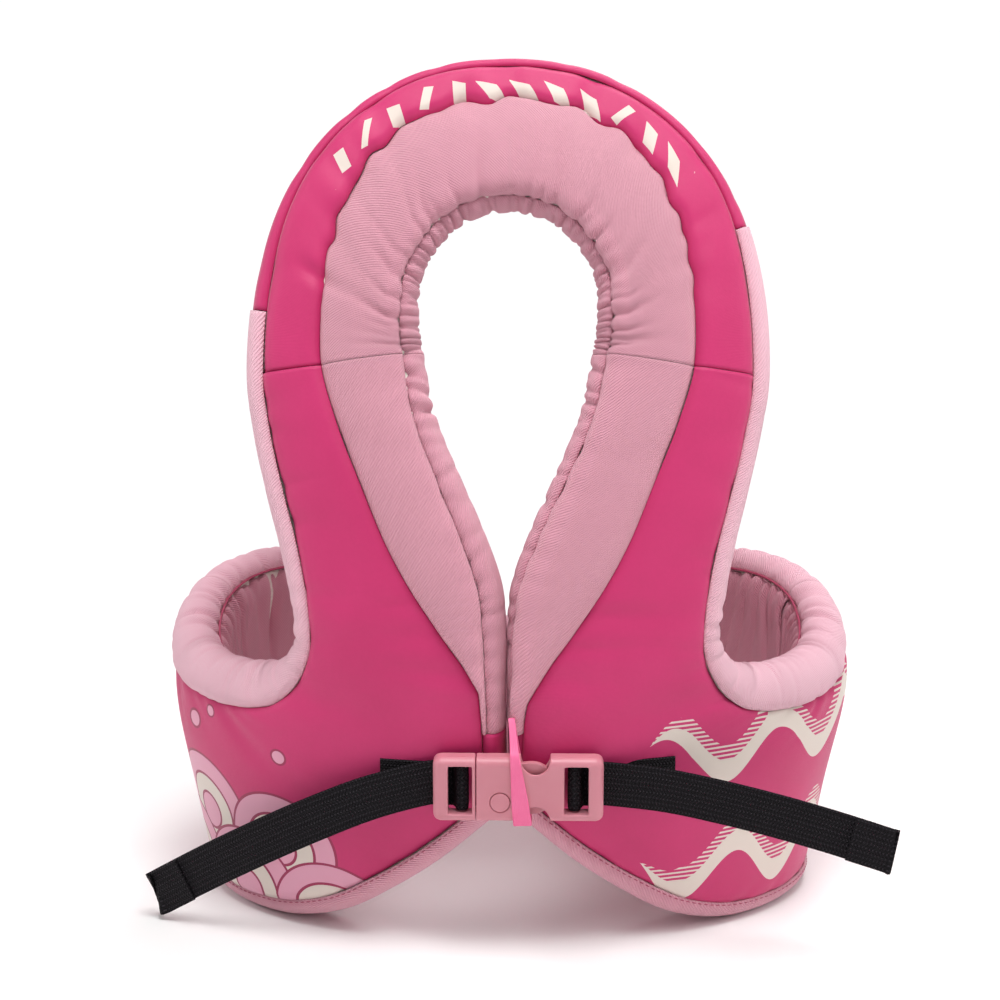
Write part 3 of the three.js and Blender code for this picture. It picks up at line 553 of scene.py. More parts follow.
def floor_look():
    """A pale floor that takes shadows near the object and glows white further out."""
    look = Look("studio_floor", (0.93, 0.925, 0.92), 0.85, Emission_Strength=1.0)
    x, y, _ = look.parts(look.place())
    out = (((x * x + y * y).root() - GLOW_START) / GLOW_REACH).clip()
    out = out * out * (3 - out * 2)
    cloud = look.noise(look.place(), 1.4)
    pale = look.mix(cloud * 0.5, (0.95, 0.945, 0.94), (0.92, 0.915, 0.91))
    look.feed(look.shader.inputs["Emission Color"], look.mix(out, BLACK, WHITE))
    return look.finish(look.mix(out, pale, BLACK))


LOOKS = {
    "nylon": nylon("bright_pink_nylon"),
    "nylon_scallops": nylon("bright_pink_nylon_scallops", scallops),
    "nylon_waves": nylon("bright_pink_nylon_waves", waves),
    "nylon_dashes": nylon("bright_pink_nylon_dashes", dashes),
    "twill": twill("light_pink_twill", LIGHT_PINK, LIGHT_PINK_DEEP),
    # A lighter copy of the light pink twill: painted light on the padded rolls.
    "painted_lit_twill": twill("painted_lit_pink_twill", PAINTED_LIT_PINK, PAINTED_LIT_PINK_DEEP),
    "webbing": webbing_look(),
    "plastic": plastic_look(),
    "elastic": elastic_look(),
    "foam": foam_look(),
    "steel": steel_look(),
    "pink_thread": thread_look(),
}


# ---- Meshes from grids ----
def dressed(piece, look, body, nodes):
    """The piece, smooth and in its look, standing for its nodes and riding on its body."""
    mesh = piece.data
    mesh.polygons.foreach_set("use_smooth", np.ones(len(mesh.polygons), bool))
    mesh.materials.append(LOOKS[look])
    if nodes:
        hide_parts(*nodes)
    if body:
        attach(piece, body)
    return piece


def add_piece(name, points, faces, look, body="root", uvs=None, nodes=()):
    """A piece from its points in form millimetres and its faces as index rows."""
    mesh = bpy.data.meshes.new(name)
    mesh.from_pydata(placed(points), [], faces)
    for title, values in (uvs or {}).items():
        layer = mesh.uv_layers.new(name=title)
        corners = np.empty(len(mesh.loops), int)
        mesh.loops.foreach_get("vertex_index", corners)
        layer.data.foreach_set("uv", values[corners].astype(np.float32).ravel())
    mesh.validate()
    piece = bpy.data.objects.new(name, mesh)
    bpy.context.scene.collection.objects.link(piece)
    return dressed(piece, look, body, nodes)


def grid_faces(rows, columns, wrap_rows=False, wrap_columns=False):
    """Quads over a grid of points numbered row by row."""
    i = np.arange(rows if wrap_rows else rows - 1)[:, None]
    j = np.arange(columns if wrap_columns else columns - 1)[None, :]
    k, l = (i + 1) % rows, (j + 1) % columns
    quads = [i * columns + j, k * columns + j, k * columns + l, i * columns + l]
    return np.stack([np.broadcast_to(q, (len(i), j.shape[1])) for q in quads], -1).reshape(-1, 4)


def outward(points, faces):
    """The faces, turned round if the closed shape that they make is inside out."""
    p = points[faces]
    volume = np.einsum("ij,ij->i", p[:, 0], np.cross(p[:, 1], p[:, 2]))
    volume += np.einsum("ij,ij->i", p[:, 0], np.cross(p[:, 2], p[:, 3]))
    return faces[:, ::-1] if volume.sum() < 0 else faces


def shell(outer, inner):
    """The points and quads of a closed thin sheet between two grids of the same size."""
    rows, columns = outer.shape[:2]
    count = rows * columns
    top = grid_faces(rows, columns)
    ids = np.arange(count).reshape(rows, columns)
    rim = np.concatenate([ids[:-1, 0], ids[-1, :-1], ids[:0:-1, -1], ids[0, :0:-1]])
    after = np.roll(rim, -1)
    walls = np.stack([after, rim, rim + count, after + count], -1)
    points = np.concatenate([outer.reshape(-1, 3), inner.reshape(-1, 3)])
    faces = np.concatenate([top, top[:, ::-1] + count, walls])
    return points, outward(points, faces)


def tube(sections):
    """The points and faces of a closed solid through closed sections, with a cap of quads and a
    middle point at each end."""
    rows, columns = sections.shape[:2]
    ends = np.stack([sections[0].mean(0), sections[-1].mean(0)])
    points = np.concatenate([sections.reshape(-1, 3), ends])
    walls = grid_faces(rows, columns, wrap_columns=True)
    j = np.arange(0, columns, 2)
    middle, last = rows * columns, (rows - 1) * columns
    near = np.stack([np.full_like(j, middle), j, (j + 1) % columns, (j + 2) % columns], -1)
    far = np.stack([np.full_like(j, middle + 1), last + (j + 2) % columns,
                    last + (j + 1) % columns, last + j], -1)
    return points, outward(points, np.concatenate([walls, near, far]))


# ---- The pattern of one half ----
CENTRE_GAP_HALF = 0.8
CENTRE_THETA = -math.degrees((CENTRE_GAP_HALF + CLEARANCE + CLOTH) / CHEST_HALF_WIDTH)
# Each station's theta in degrees and z, on the neck edge and the hem, and on the outer edge.
INNER_EDGE = np.array([
    [0, 398.5], [-7.5, 393], [-12.5, 380], [-15.6, 364], [-16.3, 347], [-16, 333],
    [-15.3, 322], [-13.2, 292], [-9.3, 263], [-4.8, 232], [-1.6, 204], [CENTRE_THETA, 180],
    [CENTRE_THETA, 155], [CENTRE_THETA, 128], [CENTRE_THETA, 100], [-1.8, 80],
    [-6.5, 65], [-14, 46], [-23, 28], [-33, 12], [-45, 2.5], [-58, 0],
    [-73, 0], [-90, 0], [-105, 0], [-120, 0], [-135, 0], [-150, 0], [-165, 0], [-180, 0],
])
OUTER_EDGE = np.array([
    [0, 463], [-13, 458], [-24.5, 442], [-34, 418], [-40.5, 388], [-44, 350],
    [-44.8, 308], [-43, 280], [-40, 250], [-37, 222], [-35, 195], [-34.3, 170],
    [-35.6, 154], [-38.6, 141], [-42.5, 132], [-46.5, 128], [-51, 126], [-56, 125],
    [-62, 125], [-69, 126], [-77, 128], [-86, 134], [-96, 142], [-106, 150],
    [-117, 155], [-128, 156], [-139, 153], [-151, 140], [-165, 118], [-180, 102],
])
# The facing's share of the band's width, by station.
FACING_SHARE = [
    0.73, 0.73, 0.72, 0.65, 0.62, 0.6, 0.585, 0.54, 0.51, 0.49, 0.42, 0.3, 0.15, 0.02,
]
POINT_START, POINT_REACH = 12.2, 0.9  # where the facing's lower point turns in to the neck edge
BINDING_WIDTH = 3.0
LAST_STATION = len(INNER_EDGE) - 1
SHOULDER, TIP, HEM_START, SIDE = 6, 13.1, 14.7, 23
ARMHOLE_TOP = {"left": 5.25, "right": 4.2}


def through(points, station):
    """A Catmull-Rom curve that is on point i at station i."""
    points = np.asarray(points, float)
    last = len(points) - 1
    s = np.clip(station, 0, last)
    i = np.minimum(s.astype(int), last - 1)
    t = (s - i)[..., None] if points.ndim > 1 else s - i
    a, b = points[np.maximum(i - 1, 0)], points[i]
    c, d = points[i + 1], points[np.minimum(i + 2, last)]
    u, v = (c - a) / 2, (d - b) / 2
    return (2 * b - 2 * c + u + v) * t**3 + (3 * c - 3 * b - 2 * u - v) * t**2 + u * t + b


def neck_round(s):
    """How far the round neck edge reaches in front of the flat faces, less near the hem."""
    return 12 - 4.5 * smooth((s - 9) / 5)


def rim_round(s):
    """How far the round outer edge reaches: more down the leg, and most round the armhole."""
    return 6 + 5 * smooth((s - 3) / 3) + 8 * smooth((s - 11) / 4)


def mirrored_past_ends(edge):
    """The edge with one more point at each end, which the other half gives it."""
    before, after = edge[1] * [-1, 1], edge[-2] * [-1, 1] - [360, 0]
    return np.concatenate([[before], edge, [after]])


INNER_ROW, OUTER_ROW = mirrored_past_ends(INNER_EDGE), mirrored_past_ends(OUTER_EDGE)


EDGE_STEP = 0.2  # stations, for an edge's direction


def edge_at(row, s):
    """An edge's theta and z at station s."""
    return through(row, s + 1)


def across_edge(row, s):
    """One millimetre outwards across an edge, level with the form, as a step in theta and z."""
    a, b, here = edge_at(row, s - EDGE_STEP), edge_at(row, s + EDGE_STEP), edge_at(row, s)
    wide = np.linalg.norm(along_theta(here[..., 0], here[..., 1]), axis=-1)
    tall = np.linalg.norm(along_height(here[..., 0], here[..., 1]), axis=-1)
    run = unit(np.stack([(b - a)[..., 0] * wide, (b - a)[..., 1] * tall], -1))
    return np.stack([run[..., 1] / wide, -run[..., 0] / tall], -1)


def section(station, q, grow):
    """A point of the band's cross-section at a station; a negative station is on the left half.
    q runs round it: 0 to 1 over the front from the neck edge to the rim, 1 to 2 round the rim as
    half an ellipse, 2 to 3 over the lining, and 3 to 4, which is -1 to 0, round the neck edge.
    grow is the height over the foam."""
    station, q, grow = np.broadcast_arrays(np.asarray(station, float), q, grow)
    s = np.abs(station)
    inner, outer = edge_at(INNER_ROW, s), edge_at(OUTER_ROW, s)
    inward, away = across_edge(INNER_ROW, s), across_edge(OUTER_ROW, s)
    neck, rim = neck_round(s), rim_round(s)
    half = FOAM_HALF + grow
    start = inner + inward * neck[..., None]
    side = np.floor(q).astype(int) % 4
    part = q - np.floor(q)
    turn = part * math.pi
    share = np.select([side == 0, side == 1, side == 2], [part, np.ones_like(part), 1 - part], 0.0)
    reach = np.where(side == 1, rim + grow, np.where(side == 3, neck + grow, 0)) * np.sin(turn)
    way = np.where((side == 1)[..., None], away, -inward)
    height = np.select(
        [side == 0, side == 1, side == 2], [half, half * np.cos(turn), -half], -half * np.cos(turn)
    )
    here = start + (outer - start) * share[..., None] + way * reach[..., None]
    points = off_form(here[..., 0], here[..., 1], height)
    points[..., 0] *= np.where(station > 0, -1, 1)
    return points


# Distance along the band's middle from the collar's top, by station.
table_stations = np.arange(0, LAST_STATION + 0.001, 0.05)
table_runs = runs_along(section(-table_stations, 0.5, 0))


def run_of(station):
    """The run, in millimetres from the collar's top, of a station. It is negative on the left."""
    return np.sign(station) * np.interp(np.abs(station), table_stations, table_runs)


def station_at(run):
    return np.sign(run) * np.interp(np.abs(run), table_runs, table_stations)


def round_body(theta):
    """Distance round the chest from the centre front, in millimetres, by angle."""
    turns = np.linspace(0, 180, 361)
    return np.sign(theta) * np.interp(np.abs(theta), turns, runs_along(on_form(turns, CHEST_Z)))


def scallop(station):
    """How far the facing's gathered seam wanders, in millimetres, near the top of the collar."""
    fade = smooth((5.2 - np.abs(station)) / 1.6)
    beat = np.sin(station * 7.3 + 0.6) + 0.6 * np.sin(station * 11.2 + 2.1)
    return fade * (1.3 * beat + 1.1 * np.abs(np.sin(station * 4.1 + 1.0)))


def band_width(s):
    """The straight distance between the band's two edges at station s."""
    return np.linalg.norm(
        on_form(*edge_at(INNER_ROW, s).T) - on_form(*edge_at(OUTER_ROW, s).T), axis=-1)


def seam_q(station):
    """Where the light facing meets the bright cover, as q."""
    s = np.abs(station)
    width = band_width(s)
    padded_share = np.array(FACING_SHARE + [0.0] * (LAST_STATION + 1 - len(FACING_SHARE)))
    share = through(padded_share, s)
    neck = neck_round(s)
    q = (share * width + scallop(station) - neck) / (width - neck)
    point = smooth((s - POINT_START) / POINT_REACH) * smooth((HEM_START - s) / 0.8)
    lowest = binding_q(station) * (1 - point) + (neck_seam_q(station) + 0.04) * point
    return np.clip(q, lowest, 0.9)


def binding_q(station):
    """How far the hem binding laps onto the front, as q."""
    return BINDING_WIDTH / band_width(np.abs(station))


def neck_seam_q(station):
    """Where the facing meets the gathered strip inside the neck hole: on the edge of the left
    leg, further round inside at the top and on the right leg."""
    return np.interp(station, [-11, -8, -5, -2, 0, 2, 5, 8, 11],
                     [-0.02, -0.1, -0.16, -0.24, -0.3, -0.28, -0.22, -0.26, -0.3])


def armhole_seam_q(station):
    """Where the armhole gusset meets the lining."""
    return 1.62 + 0.16 * smooth((np.abs(station) - 10) / 3)


def gathers(run, across, start, end, spacing, width, depth, reach, seed):
    """Creases that leave a seam: valleys along it at uneven places between two runs, each a bell
    across itself, fading with distance from the seam, and slanting a little."""
    rng = np.random.default_rng(seed)
    start, end = min(start, end), max(start, end)
    count = int((end - start) / spacing)
    places = start + (np.arange(count) + rng.uniform(0.1, 0.9, count)) * (end - start) / count
    widths = width * rng.uniform(0.6, 1.4, count)
    depths = depth * rng.uniform(0.4, 1.0, count)
    reaches = reach * rng.uniform(0.5, 1.3, count)
    slants = rng.uniform(-0.25, 0.25, count)
    total = np.zeros_like(run)
    for place, w, d, r, slant in zip(places, widths, depths, reaches, slants):
        total -= d * bell((run - place - slant * across) / w) * bell(across / r)
    return total


SWELL_WAVES = 5
SWELL_ALONG, SWELL_ACROSS = 0.045, 0.06  # the steepest turn of a wave, in radians a millimetre


def swell(run, across, amount, seed):
    """Slow unevenness of padding: a few long sine waves that cross each other."""
    rng = np.random.default_rng(seed)
    total = np.zeros_like(run)
    for _ in range(SWELL_WAVES):
        a, b = rng.uniform(-SWELL_ALONG, SWELL_ALONG), rng.uniform(-SWELL_ACROSS, SWELL_ACROSS)
        total += np.sin(a * run + b * across + rng.uniform(0, 6.28))
    return amount * total / SWELL_WAVES


SEAM_DEPTH, SEAM_REACH = 1.7, 2.4
EDGE_GAP = 0.12
FINE_STEPS = 81  # for the lengths across a panel


def panel(name, look, stations, q_near, q_far, relief, nodes=(), pitch=2.0, crown=1.5, lift=0.0,
          seams=(1.0, 1.0), padded=0.85, flat=4):
    """A cloth panel over the foam between two seams. Its outer face stands CLEARANCE + CLOTH + lift
    off the foam, plus a crown of 1 - |x|^flat between the seams, less a bell-shaped groove at each
    seam, plus its relief; its inner face lies a cloth's thickness under that."""
    first, last = run_of(np.array(stations, float))
    rows = max(8, int(abs(last - first) / pitch))
    s = station_at(np.linspace(first, last, rows))
    fine = np.linspace(0, 1, FINE_STEPS)[None, :]
    q_fine = q_near(s)[:, None] * (1 - fine) + q_far(s)[:, None] * fine
    lengths = runs_along(section(s[:, None], q_fine, CLEARANCE + CLOTH))
    width = lengths[:, -1:]
    columns = max(6, int(np.median(width) / pitch))
    near = EDGE_GAP + np.linspace(0, 1, columns)[None, :] * (width - 2 * EDGE_GAP)
    far = width - near
    q = np.stack([np.interp(a, l, b) for a, l, b in zip(near, lengths, q_fine)])
    run = np.broadcast_to(run_of(s)[:, None], q.shape)
    rise = crown * (1 - np.abs((near - far) / width) ** flat)
    groove = seams[0] * bell(near / SEAM_REACH) + seams[1] * bell(far / SEAM_REACH)
    height = CLEARANCE + CLOTH + lift + rise - SEAM_DEPTH * groove
    height = height + relief(run, near, far)
    outer, inner = section(s[:, None], q, height), section(s[:, None], q, height - CLOTH)
    points, faces = shell(outer, inner)
    x, y, z = np.moveaxis(outer, -1, 0)
    theta = np.degrees(np.arctan2(x / CHEST_HALF_WIDTH, -y / CHEST_HALF_DEPTH))
    maps = {"cloth": (run, near), "band": (run, far), "print": (round_body(theta), z)}
    uvs = {
        key: np.tile(np.stack(pair, -1).reshape(-1, 2), (2, 1)) * MM for key, pair in maps.items()
    }
    piece = add_piece(name, points, faces, look, uvs=uvs, nodes=nodes)


# ---- Creases of each panel. A relief takes how far a point is along the band and in from its near
# and its far seam, and gives its height, all in millimetres ----
COLLAR_RUN = float(run_of(np.array(SHOULDER)))
TIP_RUN = float(run_of(np.array(TIP)))
SIDE_RUN = float(run_of(np.array(SIDE)))
BACK_RUN = float(run_of(np.array(LAST_STATION)))
ARMHOLE_RUN = TIP_RUN - 70  # where the bottom of each armhole starts


def facing_puckers(run, across):
    """The puckers of the gathered seam round the collar's top, shared by both its panels."""
    top = gathers(run, across, -150, 150, spacing=21, width=5.5, depth=2.6, reach=20, seed=11)
    return top + gathers(run, across, -250, 250, spacing=55, width=8, depth=1, reach=30, seed=12)


def collar_cover_relief(run, near, far):
    rim = gathers(run, far, -220, 220, spacing=34, width=7, depth=1, reach=14, seed=13)
    return facing_puckers(run, near) + rim + swell(run, near, amount=1.6, seed=14)


def facing_relief(run, near, far):
    inside = gathers(run, near, -190, 190, spacing=13, width=3.4, depth=3, reach=24, seed=21)
    legs = gathers(run, near, -430, 430, spacing=20, width=4.2, depth=1.6, reach=15, seed=22)
    slow = swell(run, near, amount=1.4, seed=23)
    return facing_puckers(run, far) + inside + legs + slow


def strip_relief(run, near, far):
    folds = gathers(run, far, -230, 230, spacing=8, width=2, depth=3.4, reach=22, seed=31)
    legs = gathers(run, far, -430, 430, spacing=11, width=2.4, depth=2, reach=16, seed=32)
    return folds + legs


def cover_relief(way):
    """Creases from the hem, from the rim and from the cross seam, and where the webbing pulls."""
    side, collar, tip = way * SIDE_RUN, way * COLLAR_RUN, way * TIP_RUN

    def relief(run, near, far):
        hem = gathers(run, near, side, tip,
                      spacing=22, width=5, depth=0.9, reach=12, seed=41 + way)
        rim = gathers(run, far, side, collar,
                      spacing=26, width=6, depth=1.3, reach=20, seed=43 + way)
        long = gathers(run, far, side, way * (TIP_RUN - 30),
                       spacing=60, width=9, depth=1.6, reach=60, seed=47 + way)
        pulled = gathers(run, near, way * (TIP_RUN + 20), way * ARMHOLE_RUN,
                         spacing=16, width=5, depth=1.5, reach=34, seed=49 + way)
        return hem + rim + long + pulled + swell(run, near, amount=2, seed=45 + way)
    return relief


def roll_relief(way, start, end):
    """Wrinkles of an armhole's padded roll, which run across it from its inner seam."""
    def relief(run, near, far):
        ring = gathers(run, far, way * start, way * end,
                       spacing=10, width=2.8, depth=2.9, reach=26, seed=51 + way)
        ring += gathers(run, near, way * start, way * end,
                        spacing=18, width=4, depth=1.1, reach=14, seed=53 + way)
        return ring + swell(run, near, amount=1, seed=57 + way)
    return relief


def armhole_relief(way):
    """The roll's wrinkles round the bottom of the armhole, and shallow ones up the leg."""
    roll = roll_relief(way, ARMHOLE_RUN, SIDE_RUN)

    def relief(run, near, far):
        legs = gathers(run, far, way * ARMHOLE_RUN, way * COLLAR_RUN,
                       spacing=26, width=5, depth=0.8, reach=12, seed=55 + way)
        return roll(run, near, far) + legs
    return relief


def lining_relief(way, start, end):
    """Deep folds that hang from the armhole's inner seam."""
    def relief(run, near, far):
        folds = gathers(run, near, way * start, way * end,
                        spacing=9, width=2.6, depth=4.6, reach=46, seed=61 + way)
        return folds + swell(run, near, amount=1.4, seed=63 + way)
    return relief


RIB_HEIGHT, RIB_RUN = 0.35, 1.9


def binding_relief(run, near, far):
    """The small ribs that the topstitch pulls in, and a slow swell."""
    ribs = RIB_HEIGHT * np.sin(run / RIB_RUN) * bell((far - 1.5) / 2.5)
    return ribs + swell(run, near, amount=0.5, seed=71)


def back_relief(run, near, far):
    top = gathers(run, far, -BACK_RUN, BACK_RUN,
                  spacing=18, width=4, depth=1.1, reach=18, seed=81)
    return top + swell(run, near, amount=1.5, seed=82)


def plain_relief(seed, spacing=24, depth=1.2):
    """Shallow folds from the near seam and a slow swell."""
    def relief(run, near, far):
        folds = gathers(run, near, -BACK_RUN, BACK_RUN,
                        spacing=spacing, width=5, depth=depth, reach=22, seed=seed)
        return folds + swell(run, near, amount=1.2, seed=seed + 1)
    return relief


def constant(value):
    """A seam at the same q all along the band."""
    return lambda station: np.full(np.shape(station), float(value))


SEAM_END = 0.006  # a panel stops this far short of a cross seam, in stations
HEM_TAPE = {"pitch": 1.2, "crown": 0.4, "lift": 0.5, "seams": (0.3, 0.3), "padded": 0}


def stretch(way, start, end, end_gap=SEAM_END):
    """A panel's two ends, on the left half where way is -1 and on the right half where it is 1."""
    return sorted((way * (start + SEAM_END), way * (end - end_gap)))


def make_cloth():
    """Every cloth panel of the collar and the two fronts."""
    collar = (-SHOULDER + SEAM_END, SHOULDER - SEAM_END)
    panel("collar_outer_panel", "nylon_dashes", collar, seam_q, constant(1), collar_cover_relief,
          ["collar_cover"], crown=2.5)
    panel("collar_facing_panel", "twill", collar, neck_seam_q, seam_q, facing_relief,
          ["collar_facing"], pitch=1.8, crown=4.5, flat=2.5)
    panel("collar_gathered_strip", "twill", collar, constant(-1), neck_seam_q, strip_relief,
          ["collar_neck_gusset"], pitch=1.3, crown=0.8)
    panel("collar_inner_lining", "twill", collar, armhole_seam_q, constant(3), plain_relief(91),
          ["collar_lining"])
    rim = (-ARMHOLE_TOP["left"] + SEAM_END, ARMHOLE_TOP["right"] - SEAM_END)
    panel("collar_rim_panel", "nylon", rim, constant(1), armhole_seam_q, plain_relief(93, 30, 0.8),
          ["collar_rim_cover"], crown=0.8)
    for side, way, motif in (("left", -1, "nylon_scallops"), ("right", 1, "nylon_waves")):
        leg, front = stretch(way, SHOULDER, TIP), stretch(way, SHOULDER, SIDE)
        panel(f"{side}_front_outer_panel", motif, front, seam_q, constant(1), cover_relief(way),
              [f"{side}_front_cover"], pitch=1.8, crown=2.5, seams=(0.5, 1.0))
        panel(f"{side}_facing_panel", "twill", leg, neck_seam_q, seam_q, facing_relief,
              [f"{side}_front_facing"], crown=4.5, flat=2.5)
        panel(f"{side}_gathered_strip", "twill", leg, constant(-1), neck_seam_q, strip_relief,
              [f"{side}_neck_gusset"], pitch=1.3, crown=0.8)
        # The armhole roll takes the lighter copy of the twill, as painted light from above.
        panel(f"{side}_armhole_roll", "painted_lit_twill", stretch(way, ARMHOLE_TOP[side], SIDE),
              constant(1), armhole_seam_q, armhole_relief(way), [f"{side}_armhole_gusset"],
              pitch=1.5, lift=0.8)
        panel(f"{side}_inner_lining", "twill", front, armhole_seam_q, constant(3),
              lining_relief(way, ARMHOLE_RUN, SIDE_RUN), [f"{side}_front_lining"], pitch=1.6)
        panel(f"{side}_centre_edge", "nylon", stretch(way, TIP, HEM_START), constant(-1), seam_q,
              plain_relief(95), pitch=1.5, crown=0.8)
        panel(f"{side}_hem_tape", "twill", stretch(way, HEM_START, SIDE), constant(-1), binding_q,
              binding_relief, [f"{side}_hem_binding"], **HEM_TAPE)


def make_back():
    """The back band in its two mirror halves, joined at the centre back. The left halves stand for
    the CAD's whole pieces."""
    for side, way in (("left", -1), ("right", 1)):
        half = stretch(way, SIDE, LAST_STATION, end_gap=0)
        nodes = (lambda *names: names if side == "left" else ())
        panel(f"back_outer_panel_{side}", "nylon", half, binding_q, constant(1), back_relief,
              nodes("back_cover"), crown=2.0, seams=(0.5, 1.0))
        # The back's top roll takes the lighter copy of the twill, as painted light from above.
        panel(f"back_top_roll_{side}", "painted_lit_twill", half, constant(1), armhole_seam_q,
              roll_relief(way, SIDE_RUN, BACK_RUN), nodes("back_top_gusset"), pitch=1.6, lift=0.8)
        panel(f"back_inner_lining_{side}", "twill", half, armhole_seam_q, constant(3),
              lining_relief(way, SIDE_RUN, BACK_RUN), nodes("back_lining"), pitch=1.6)
        panel(f"back_hem_tape_{side}", "twill", half, constant(-1), binding_q, binding_relief,
              nodes("back_hem_binding"), **HEM_TAPE)


# ---- Foam ----
BLOCK_GAP = 0.02  # a block stops this far short of a cross seam, in stations
FOAM_PITCH = 5


def make_foam():
    """The foam blocks under the cloth: the band's whole cross-section, carried along it."""
    q = np.concatenate([
        np.linspace(side, side + 1, count, endpoint=False)
        for side, count in enumerate((24, 12, 24, 12))
    ])
    blocks = [
        ("collar_padding", "collar_foam", -SHOULDER + BLOCK_GAP, SHOULDER - BLOCK_GAP),
        ("left_front_padding", "left_front_foam", -SIDE + BLOCK_GAP, -SHOULDER - BLOCK_GAP),
        ("right_front_padding", "right_front_foam", SHOULDER + BLOCK_GAP, SIDE - BLOCK_GAP),
        ("back_padding_left", "back_foam", -LAST_STATION, -SIDE - BLOCK_GAP),
        ("back_padding_right", None, SIDE + BLOCK_GAP, LAST_STATION),
    ]
    for name, node, start, end in blocks:
        first, last = run_of(np.array([start, end], float))
        s = station_at(np.linspace(first, last, int((last - first) / FOAM_PITCH)))
        points, faces = tube(section(s[:, None], q[None, :], -FOAM_SHRINK + CLEARANCE))
        piece = add_piece(name, points, faces, "foam", nodes=[node] if node else [])


# ---- Straps of any section ----
def curve_through(points, spacing):
    """Evenly spaced points on a Catmull-Rom curve through the given ones, and their runs."""
    points = np.asarray(points, float)
    dense = through(points, np.linspace(0, len(points) - 1, 60 * len(points)))
    runs = runs_along(dense)
    even = np.linspace(0, runs[-1], max(3, int(runs[-1] / spacing)))
    return sampled(dense, runs, even), even


def strap_frame(path, wide, closed=False):
    """Across and up directions along a path; across is as near to wide as it can be."""
    if closed:
        tangent = unit(np.roll(path, -1, 0) - np.roll(path, 1, 0))
    else:
        tangent = unit(np.gradient(path, axis=0))
    wide = np.broadcast_to(np.asarray(wide, float), path.shape)
    across = unit(wide - tangent * np.sum(wide * tangent, -1, keepdims=True))
    return across, np.cross(across, tangent)


RIBBON_PITCH, RIBBON_SIDES = 0.8, 28
RIBBON_POWERS = 0.3, 0.7  # of the cosine and the sine; 1 would make the section an ellipse


def power(x, exponent):
    """A power of x's size, with x's sign."""
    return np.sign(x) * np.abs(x) ** exponent


def ribbon(name, look, path_points, wide, width, thickness, body="root", nodes=(), closed=False):
    """A flat strap with soft edges: a flattened superellipse carried along a path."""
    path, runs = curve_through(path_points, RIBBON_PITCH)
    if closed:
        path, runs = path[:-1], runs[:-1]
    across, up = strap_frame(path, wide, closed)
    turn = np.arange(RIBBON_SIDES) / RIBBON_SIDES * 2 * math.pi
    w = np.broadcast_to(np.asarray(width, float), (len(path),))[:, None] / 2
    w = w * power(np.cos(turn), RIBBON_POWERS[0])
    h = np.full((len(path), 1), thickness / 2) * power(np.sin(turn), RIBBON_POWERS[1])
    sections = path[:, None] + across[:, None] * w[..., None] + up[:, None] * h[..., None]
    uv = np.stack([np.broadcast_to(runs[:, None], w.shape), w], -1).reshape(-1, 2) * MM
    if closed:
        points = sections.reshape(-1, 3)
        faces = outward(points, grid_faces(len(path), len(turn), True, True))
    else:
        points, faces = tube(sections)
        uv = np.concatenate([uv, [[runs[0] * MM, 0], [runs[-1] * MM, 0]]])
    return add_piece(name, points, faces, look, body, {"cloth": uv}, nodes)


BAR_Y = BUCKLE_BACK - BAR_RADIUS - WEBBING_THICKNESS - 2 * LAYER_GAP
BEND_RADIUS = BAR_RADIUS + LAYER_GAP + WEBBING_THICKNESS / 2
UPRIGHT = (0, 0, 1)
BEND_TURNS = (*range(15, 256, 30), 275)  # round the bar from behind, in degrees
SEWN_LIFT = FOAM_HALF + CLEARANCE + CLOTH + 3.4
TUCK_REACH, TUCK_DEPTH = 6, 1.2
TAIL_ROOT, TAIL_LEAD = 3.6, 5
FOLD_STEP, FOLD_BEND = 1.75, 0.7


def sewn_run(way, rim_end, length):
    """Points of the webbing where it lies on the front, from its sewn end to the frame."""
    x = rim_end + way * (SEWN_START + length * (1 - np.arange(5) / 4))
    theta = np.degrees(np.arcsin(x / CHEST_HALF_WIDTH))
    tuck = [[rim_end - way * TUCK_REACH, INNER_LAYER_Y + TUCK_DEPTH, BUCKLE_Z]]
    return np.concatenate([off_form(theta, BUCKLE_Z, np.full(5, SEWN_LIFT)), tuck])


def loop_run(way, rim_end, bar_x):
    """Points of the webbing from behind the rim, round the bar and back out over itself."""
    turn = np.radians(BEND_TURNS)
    around = np.stack([
        bar_x - way * BEND_RADIUS * np.sin(turn),
        BAR_Y + BEND_RADIUS * np.cos(turn),
        np.full(len(turn), BUCKLE_Z),
    ], -1)
    start = [[rim_end - way * 2, INNER_LAYER_Y, BUCKLE_Z],
             [bar_x + way * 3.2, INNER_LAYER_Y, BUCKLE_Z]]
    end = [[bar_x + way * 4.6, OUTER_LAYER_Y - 0.5, BUCKLE_Z],
           [bar_x + way * 6.5, OUTER_LAYER_Y, BUCKLE_Z],
           [rim_end - way * 1.5, OUTER_LAYER_Y, BUCKLE_Z]]
    return np.concatenate([start, around, end])


def tail_run(side, way, rim_end):
    """Points of a free tail: out from behind the rim, down along the chest, and back over itself
    for the sewn fold at its end."""
    start = rim_end + way * TAIL_ROOT
    depths = TAIL_DEPTH[side]
    share = np.arange(len(depths)) / (len(depths) - 1)
    main = np.stack([
        start + (way * TAIL_REACH[side] - start) * share,
        OUTER_LAYER_Y + np.array(depths),
        BUCKLE_Z - TAIL_DROP[side] * share**TAIL_EASE,
    ], -1)
    lead = [[rim_end - way * TAIL_LEAD, OUTER_LAYER_Y, BUCKLE_Z]]
    back = unit(main[-2] - main[-1])
    front = np.array([0, -FOLD_STEP, 0])
    turn = [main[-1] - back * FOLD_BEND + front / 2]
    fold = [main[-1] + front + back * TAIL_FOLD_LENGTH * k for k in (0.02, 0.5, 1)]
    return np.concatenate([lead, main, turn, fold])


